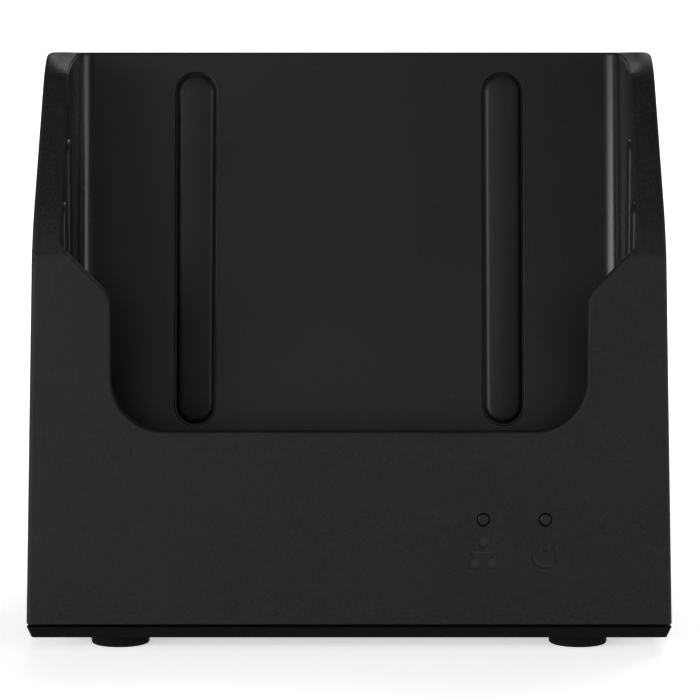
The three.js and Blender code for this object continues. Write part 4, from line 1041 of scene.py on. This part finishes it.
class Value:
    """A number socket that takes Python arithmetic: each operation adds its Math node."""

    def __init__(self, recipe, socket):
        self.recipe, self.socket = recipe, socket

    def maths(self, operation, *values, clamp=False):
        node = self.recipe.add("ShaderNodeMath", {"operation": operation, "use_clamp": clamp},
                               dict(enumerate(values)))
        return Value(self.recipe, node.outputs[0])

    def __add__(self, other):
        return self.maths("ADD", self, other)

    def __radd__(self, other):
        return self.maths("ADD", other, self)

    def __sub__(self, other):
        return self.maths("SUBTRACT", self, other)

    def __rsub__(self, other):
        return self.maths("SUBTRACT", other, self)

    def __mul__(self, other):
        return self.maths("MULTIPLY", self, other)

    def __rmul__(self, other):
        return self.maths("MULTIPLY", other, self)

    def clamped(self):
        return self.maths("ADD", self, 0.0, clamp=True)

    def above(self, edge, soft):
        """0 below the edge, 1 above it, over a soft step."""
        return ((self - edge) * (1 / soft) + 0.5).clamped()


class Recipe:
    """A node material built from a Principled shader and object coordinates."""

    def __init__(self, name):
        self.material = bpy.data.materials.new(name)
        self.material.use_nodes = True
        self.tree = self.material.node_tree
        self.shader = self.tree.nodes["Principled BSDF"]
        self.place = self.add("ShaderNodeTexCoord").outputs["Object"]

    def add(self, kind, options=None, inputs=None):
        """Any node: its settings first, then values or links for its sockets."""
        node = self.tree.nodes.new(kind)
        for key, value in (options or {}).items():
            setattr(node, key, value)
        self.wire(node, inputs or {})
        return node

    def wire(self, node, inputs):
        for key, value in inputs.items():
            socket = node.inputs[key]
            if isinstance(value, Value):
                value = value.socket
            if isinstance(value, bpy.types.NodeSocket):
                self.tree.links.new(value, socket)
            else:
                socket.default_value = value

    def noise(self, grain, detail=2.0, roughness=0.5, stretch=(1, 1, 1)):
        """Noise whose features are about one grain across, in metres."""
        mapping = self.add("ShaderNodeMapping", {}, {"Vector": self.place, "Scale": stretch})
        node = self.add("ShaderNodeTexNoise", {}, {
            "Vector": mapping.outputs[0], "Scale": 1 / grain, "Detail": detail,
            "Roughness": roughness})
        return Value(self, node.outputs[0])

    def cells(self, grain):
        """Distance to the nearest of points scattered about one grain apart."""
        node = self.add("ShaderNodeTexVoronoi", {}, {"Vector": self.place, "Scale": 1 / grain})
        return Value(self, node.outputs[0])

    def blend(self, factor, first, second):
        """A colour between two colours."""
        node = self.add("ShaderNodeMix", {"data_type": "RGBA"})
        self.wire(node, {0: factor, 6: opaque(first), 7: opaque(second)})
        return node.outputs[2]

    def bump(self, height, distance):
        inputs = {"Height": height, "Distance": distance, "Strength": 1.0}
        return self.add("ShaderNodeBump", {}, inputs).outputs[0]

    def done(self, **inputs):
        names = {key.replace("_", " "): value for key, value in inputs.items()}
        self.wire(self.shader, names)
        return self.material


def opaque(value):
    return value if isinstance(value, bpy.types.NodeSocket) else (*value[:3], 1.0)


def tinted(rgb, share):
    return tuple(min(1.0, channel * share) for channel in rgb)


def textured_plastic(name, rgb, roughness=0.6, grain=0.36 * MM, depth=0.05 * MM, level=0.13):
    """Spark-eroded moulding: a fine random pebble, faint mottling and a few paler specks."""
    recipe = Recipe(name)
    pebble = recipe.noise(grain, 2.0, 0.55)
    fine = recipe.noise(grain * 0.45, 1.0)
    cloud = recipe.noise(14 * MM, 3.0)
    speck = recipe.noise(0.5 * MM, 1.0).above(0.68, 0.06)
    shade = (pebble - 0.5) * 1.6 + (fine - 0.5) * 0.5 + (cloud - 0.5) * 0.35 + 0.5
    base = recipe.blend(shade.clamped(), tinted(rgb, 0.1), tinted(rgb, 1.9))
    base = recipe.blend(speck * 0.3, base, tinted(rgb, 3.0))
    rough = (pebble - 0.5) * 0.2 + (cloud - 0.5) * 0.06 + roughness
    relief = recipe.bump(pebble * 0.8 + fine * 0.2, depth)
    return recipe.done(Base_Color=base, Roughness=rough, Normal=relief, Specular_IOR_Level=level)


def satin_plastic(name, rgb, roughness=0.28, level=0.24):
    """Smooth moulding: a soft sheen that drifts slightly, faint upright wiping and sparse dust."""
    recipe = Recipe(name)
    drift = recipe.noise(22 * MM, 3.0)
    wiping = recipe.noise(5 * MM, 2.0, 0.5, (1, 1, 0.15))
    dust = recipe.noise(0.8 * MM, 0.0).above(0.80, 0.05)
    base = recipe.blend(drift, tinted(rgb, 0.86), tinted(rgb, 1.14))
    base = recipe.blend(dust * 0.2, base, tinted(rgb, 3.0))
    rough = (drift - 0.5) * 0.08 + (wiping - 0.5) * 0.04 + roughness
    relief = recipe.bump(wiping, 0.004 * MM)
    return recipe.done(Base_Color=base, Roughness=rough, Normal=relief, Specular_IOR_Level=level)


def rubber(name, rgb, roughness=0.75):
    """Matt elastomer with a fine skin and a little bloom."""
    recipe = Recipe(name)
    skin = recipe.noise(0.22 * MM, 2.0)
    bloom = recipe.noise(3 * MM, 3.0)
    base = recipe.blend(bloom, tinted(rgb, 0.8), tinted(rgb, 1.4))
    return recipe.done(Base_Color=base, Roughness=(bloom - 0.5) * 0.1 + roughness,
                       Normal=recipe.bump(skin, 0.012 * MM), Specular_IOR_Level=0.06)


def smoked_lens(name, rgb):
    """Smoke-tinted clear plastic over a dark stem."""
    recipe = Recipe(name)
    haze = recipe.noise(0.6 * MM, 2.0)
    base = recipe.blend(haze, tinted(rgb, 0.8), tinted(rgb, 1.2))
    return recipe.done(Base_Color=base, Roughness=haze * 0.08 + 0.2, Specular_IOR_Level=0.15)


def circuit_board(name, rgb):
    """Solder mask over copper: straight tracks, pads and a weave under the mask."""
    recipe = Recipe(name)
    weave = recipe.noise(0.5 * MM, 1.0)
    split = recipe.add("ShaderNodeSeparateXYZ", {}, {0: recipe.place})
    across = Value(recipe, split.outputs[0]) * (1 / (1.6 * MM))
    track = across.maths("PINGPONG", across, 0.5)
    lane = recipe.noise(9 * MM, 0.0).above(0.5, 0.02)
    copper = track.above(0.36, 0.05) * lane
    pad = 1 - recipe.cells(3.4 * MM).above(0.16, 0.02)
    base = recipe.blend(copper * 0.6, rgb, tinted(rgb, 2.3))
    base = recipe.blend(pad * 0.8, base, (0.45, 0.44, 0.40))
    relief = recipe.bump(copper * 0.6 + weave * 0.2, 0.03 * MM)
    return recipe.done(Base_Color=base, Roughness=weave * 0.1 + 0.3, Normal=relief)


def bare_metal(name, rgb, roughness=0.3, brushing=(1, 1, 0.05)):
    """Plated or drawn metal with fine lines and faint staining."""
    recipe = Recipe(name)
    lines = recipe.noise(0.15 * MM, 3.0, 0.6, brushing)
    stain = recipe.noise(2.5 * MM, 3.0)
    base = recipe.blend(stain, tinted(rgb, 0.82), tinted(rgb, 1.08))
    return recipe.done(Base_Color=base, Metallic=1.0,
                       Roughness=(lines - 0.5) * 0.2 + stain * 0.1 + roughness,
                       Normal=recipe.bump(lines, 0.004 * MM))


def moulded_package(name, rgb, roughness=0.5):
    """Filled epoxy or nylon: a fine matt grain and faint flow."""
    recipe = Recipe(name)
    grain = recipe.noise(0.12 * MM, 2.0)
    flow = recipe.noise(4 * MM, 3.0)
    base = recipe.blend(flow, tinted(rgb, 0.85), tinted(rgb, 1.15))
    return recipe.done(Base_Color=base, Roughness=(flow - 0.5) * 0.1 + roughness,
                       Normal=recipe.bump(grain, 0.01 * MM))


def ribbon_cable(name, rgb):
    """Flat cable: parallel cores 1 mm apart, seen as ridges, with the colour paler on the crests and
    darker in the grooves as painted shade.
    """
    recipe = Recipe(name)
    split = recipe.add("ShaderNodeSeparateXYZ", {}, {0: recipe.place})
    across = Value(recipe, split.outputs[0]) * (1 / MM)
    ridge = across.maths("PINGPONG", across, 0.5)
    # Painted shade: the colour follows the ridges, darker in the grooves and paler on the crests.
    base = recipe.blend(ridge, tinted(rgb, 0.7), tinted(rgb, 1.3))
    return recipe.done(Base_Color=base, Roughness=0.5, Normal=recipe.bump(ridge, 0.2 * MM))


def record_colours():
    return {entry["slot"]: tuple(entry["base_color"][:3]) for entry in frame["record"]["materials"]}


INSIDE_FINISHES = {
    "led": lambda rgb: moulded_package("led_package", rgb, 0.35),
    "circuit_board": lambda rgb: circuit_board("solder_mask", rgb),
    "jack_steel": lambda rgb: bare_metal("tinned_steel", rgb, 0.32),
    "contact_gold": lambda rgb: bare_metal("gold_plate", rgb, 0.22, (1, 1, 1)),
    "connector_black": lambda rgb: moulded_package("black_nylon", rgb, 0.5),
    "spring_steel": lambda rgb: bare_metal("spring_wire", rgb, 0.25),
    "chip": lambda rgb: moulded_package("chip_epoxy", rgb, 0.55),
    "capacitor_can": lambda rgb: bare_metal("aluminium_can", rgb, 0.28),
    "connector_cream": lambda rgb: moulded_package("cream_nylon", rgb, 0.5),
    "cable_grey": lambda rgb: ribbon_cable("ribbon_cable", rgb),
    "screw_steel": lambda rgb: bare_metal("zinc_plate", rgb, 0.35, (1, 1, 1)),
}


MADE = {}


def inside_material(slot):
    if slot not in MADE:
        MADE[slot] = INSIDE_FINISHES[slot](record_colours()[slot])
    return MADE[slot]


# ------------------------------------------------------------------ operators


class CRADLE_OT_stage(bpy.types.Operator):
    """Pale sweep, softboxes and the camera"""

    bl_idname = "cradle.stage"
    bl_label = "Studio"

    def execute(self, context):
        s = settings("studio")
        build_sweep(s)
        build_lights(s)
        build_camera(s)
        return {"FINISHED"}


def build_sweep(s):
    """A round sweep: flat to a wide radius, then a quarter round up into a low wall."""
    t = np.linspace(0, math.pi / 2, 24)
    bend = [(SWEEP_RADIUS + SWEEP_BEND * math.sin(a), SWEEP_BEND * (1 - math.cos(a))) for a in t]
    profile = [(0, 0), (0.3, 0), (0.8, 0)] + bend + [(SWEEP_RADIUS + SWEEP_BEND, SWEEP_HEIGHT)]
    rows = turned(profile, (0, 0, -0.02 * MM), (0, 0, 1), 96)
    sweep = piece("sweep", [(rows, False, True)], closed=False)
    recipe = Recipe("pale_sweep")
    tone = recipe.noise(0.4, 2.0)
    base = recipe.blend(tone, (0.82, 0.82, 0.82), (0.86, 0.86, 0.86))
    # The sweep glows, and its glow is dimmed to 0.62 within 0.12 m of the middle and brightens to full
    # by 0.82 m. This is a painted shadow round the cradle, and it also keeps light off the cradle's
    # underside.
    length = recipe.add("ShaderNodeVectorMath", {"operation": "LENGTH"}, {0: recipe.place})
    far = (Value(recipe, length.outputs["Value"]) - 0.12) * (1 / 0.7)
    glow_with_painted_shadow = recipe.blend(far.clamped(), (0.62, 0.62, 0.62), (1.0, 1.0, 1.0))
    material = recipe.done(Base_Color=base, Roughness=0.9, Specular_IOR_Level=0.1,
                           Emission_Color=glow_with_painted_shadow, Emission_Strength=s.sweep_glow)
    sweep.data.materials.append(material)
    smooth(sweep, 60)


def softbox(name, azimuth, height, distance, wide, tall, power):
    """A rectangular softbox aimed at the cradle; azimuth 0 is in front, positive to the right."""
    data = bpy.data.lights.new(name, "AREA")
    data.shape, data.size, data.size_y, data.energy = "RECTANGLE", wide, tall, power
    light = bpy.data.objects.new(name, data)
    turn = math.radians(azimuth)
    light.location = (distance * math.sin(turn), -distance * math.cos(turn), height)
    aim = Vector((0, 0, 0.05)) - light.location
    light.rotation_euler = aim.to_track_quat("-Z", "Y").to_euler()
    light.visible_camera = False
    bpy.context.scene.collection.objects.link(light)


def build_lights(s):
    softbox("left_softbox", -47, 0.18, 1.0, 0.9, 0.36, s.left_power)
    softbox("right_softbox", 66, 0.18, 0.95, 0.7, 0.36, s.right_power)
    softbox("front_softbox", -9, 0.70, 1.4, 0.75, 0.32, s.front_power)
    softbox("rear_softbox", 165, 0.95, 0.85, 1.0, 0.6, s.rear_power)
    softbox("top_softbox", 180, 1.5, 0.1, 0.9, 0.9, s.top_power)
    world = bpy.data.worlds.new("room")
    world.use_nodes = True
    background = world.node_tree.nodes["Background"]
    background.inputs[0].default_value = (0.95, 0.97, 1.0, 1.0)
    background.inputs[1].default_value = s.sky
    bpy.context.scene.world = world


def build_camera(s):
    data = bpy.data.cameras.new("camera")
    data.lens, data.sensor_width = s.camera_lens, 36.0
    data.clip_start, data.clip_end = 0.01, 20.0
    camera = bpy.data.objects.new("camera", data)
    front = cad_box[0].y
    camera.location = (s.camera_side, front - s.camera_distance, s.camera_height)
    camera.rotation_euler = (math.pi / 2 - s.camera_tilt, 0, 0)
    bpy.context.scene.collection.objects.link(camera)
    bpy.context.scene.camera = camera
    bpy.context.scene.view_settings.view_transform = "Standard"


class CRADLE_OT_housing(bpy.types.Operator):
    """Textured outer housing with its cut-out, wings, light holes and jack windows"""

    bl_idname = "cradle.housing"
    bl_label = "Upper housing"

    def execute(self, context):
        finishes = [textured_plastic("spark_textured_black", settings("finishes").housing),
                    satin_plastic("polished_black", settings("finishes").symbols, 0.5, 0.21)]
        dressed(build_housing(finishes), finishes[0], ROOT, "housing_plastic", "upper_housing")
        return {"FINISHED"}


class CRADLE_OT_liner(bpy.types.Operator):
    """Satin pocket liner with beds for the pads"""

    bl_idname = "cradle.liner"
    bl_label = "Pocket liner"

    def execute(self, context):
        material = satin_plastic("satin_black", settings("finishes").liner)
        dressed(build_liner(), material, ROOT, "liner_plastic", "pocket_liner")
        return {"FINISHED"}


class CRADLE_OT_pads(bpy.types.Operator):
    """Guide pads on the back and side walls"""

    bl_idname = "cradle.pads"
    bl_label = "Guide pads"

    def execute(self, context):
        material = textured_plastic("pad_black", settings("finishes").pads, 0.44,
                                    0.25 * MM, 0.03 * MM, 0.19)
        for node, pad in build_pads().items():
            dressed(pad, material, ROOT, "pad_plastic", node)
        return {"FINISHED"}


class CRADLE_OT_tray(bpy.types.Operator):
    """Base tray with its bevel, foot beds and counterbores"""

    bl_idname = "cradle.tray"
    bl_label = "Base tray"

    def execute(self, context):
        material = textured_plastic("tray_black", settings("finishes").tray, 0.6, level=0.045)
        dressed(build_tray(), material, ROOT, "tray_plastic", "base_tray")
        return {"FINISHED"}


class CRADLE_OT_feet(bpy.types.Operator):
    """Round rubber feet"""

    bl_idname = "cradle.feet"
    bl_label = "Feet"

    def execute(self, context):
        material = rubber("foot_black", settings("finishes").feet)
        for node, foot in build_feet().items():
            dressed(foot, material, ROOT, "foot_rubber", node)
        return {"FINISHED"}


class CRADLE_OT_light_pipes(bpy.types.Operator):
    """Light pipes with their lenses"""

    bl_idname = "cradle.light_pipes"
    bl_label = "Light pipes"

    def execute(self, context):
        material = smoked_lens("smoked_lens", settings("finishes").lens)
        for node, pipe in build_light_pipes().items():
            dressed(pipe, material, ROOT, "light_pipe", node)
        return {"FINISHED"}


class CRADLE_OT_contacts(bpy.types.Operator):
    """Spring contacts: turned plungers and coiled springs"""

    bl_idname = "cradle.contacts"
    bl_label = "Spring contacts"

    def execute(self, context):
        for number, plunger in build_plungers().items():
            dressed(plunger, inside_material("contact_gold"), f"contact_{number}", "contact_gold",
                    f"contact_plunger_{number}")
        for number, spring in build_springs().items():
            dressed(spring, inside_material("spring_steel"), ROOT, "spring_steel",
                    f"contact_spring_{number}")
            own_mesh(spring)
        return {"FINISHED"}


class CRADLE_OT_inside(bpy.types.Operator):
    """Finishes for the boards, jacks, screws and the other parts that keep their own solids"""

    bl_idname = "cradle.inside"
    bl_label = "Inside parts"

    def execute(self, context):
        slots = {part["node"]: part["material_slot"] for part in frame["record"]["subparts"]}
        for node, obj in frame["nodes"].items():
            if obj.hide_render:
                continue
            obj.data.materials.clear()
            obj.data.materials.append(inside_material(slots[node]))
        return {"FINISHED"}


class CRADLE_PT_panel(bpy.types.Panel):
    """Lists the cradle's pieces, sizes and finishes"""

    bl_label = "Cradle"
    bl_idname = "CRADLE_PT_panel"
    bl_space_type = "VIEW_3D"
    bl_region_type = "UI"
    bl_category = "Cradle"

    def draw(self, context):
        for operator in OPERATORS:
            self.layout.operator(operator.bl_idname)
        for name, group in GROUPS.items():
            box = self.layout.box()
            box.label(text=group.__name__)
            for key in group.__annotations__:
                box.prop(getattr(context.scene, name), key)


OPERATORS = (CRADLE_OT_stage, CRADLE_OT_housing, CRADLE_OT_liner, CRADLE_OT_pads, CRADLE_OT_tray,
             CRADLE_OT_feet, CRADLE_OT_light_pipes, CRADLE_OT_contacts, CRADLE_OT_inside)


def register():
    for group in GROUPS.values():
        bpy.utils.register_class(group)
    for name, group in GROUPS.items():
        setattr(bpy.types.Scene, name, PointerProperty(type=group))
    for cls in OPERATORS + (CRADLE_PT_panel,):
        bpy.utils.register_class(cls)


def unregister():
    for cls in reversed(OPERATORS + (CRADLE_PT_panel,)):
        bpy.utils.unregister_class(cls)
    for name, group in GROUPS.items():
        delattr(bpy.types.Scene, name)
        bpy.utils.unregister_class(group)


def main():
    register()
    for operator in OPERATORS:
        group, name = operator.bl_idname.split(".")
        getattr(getattr(bpy.ops, group), name)()


if __name__ == "__main__":
    main()
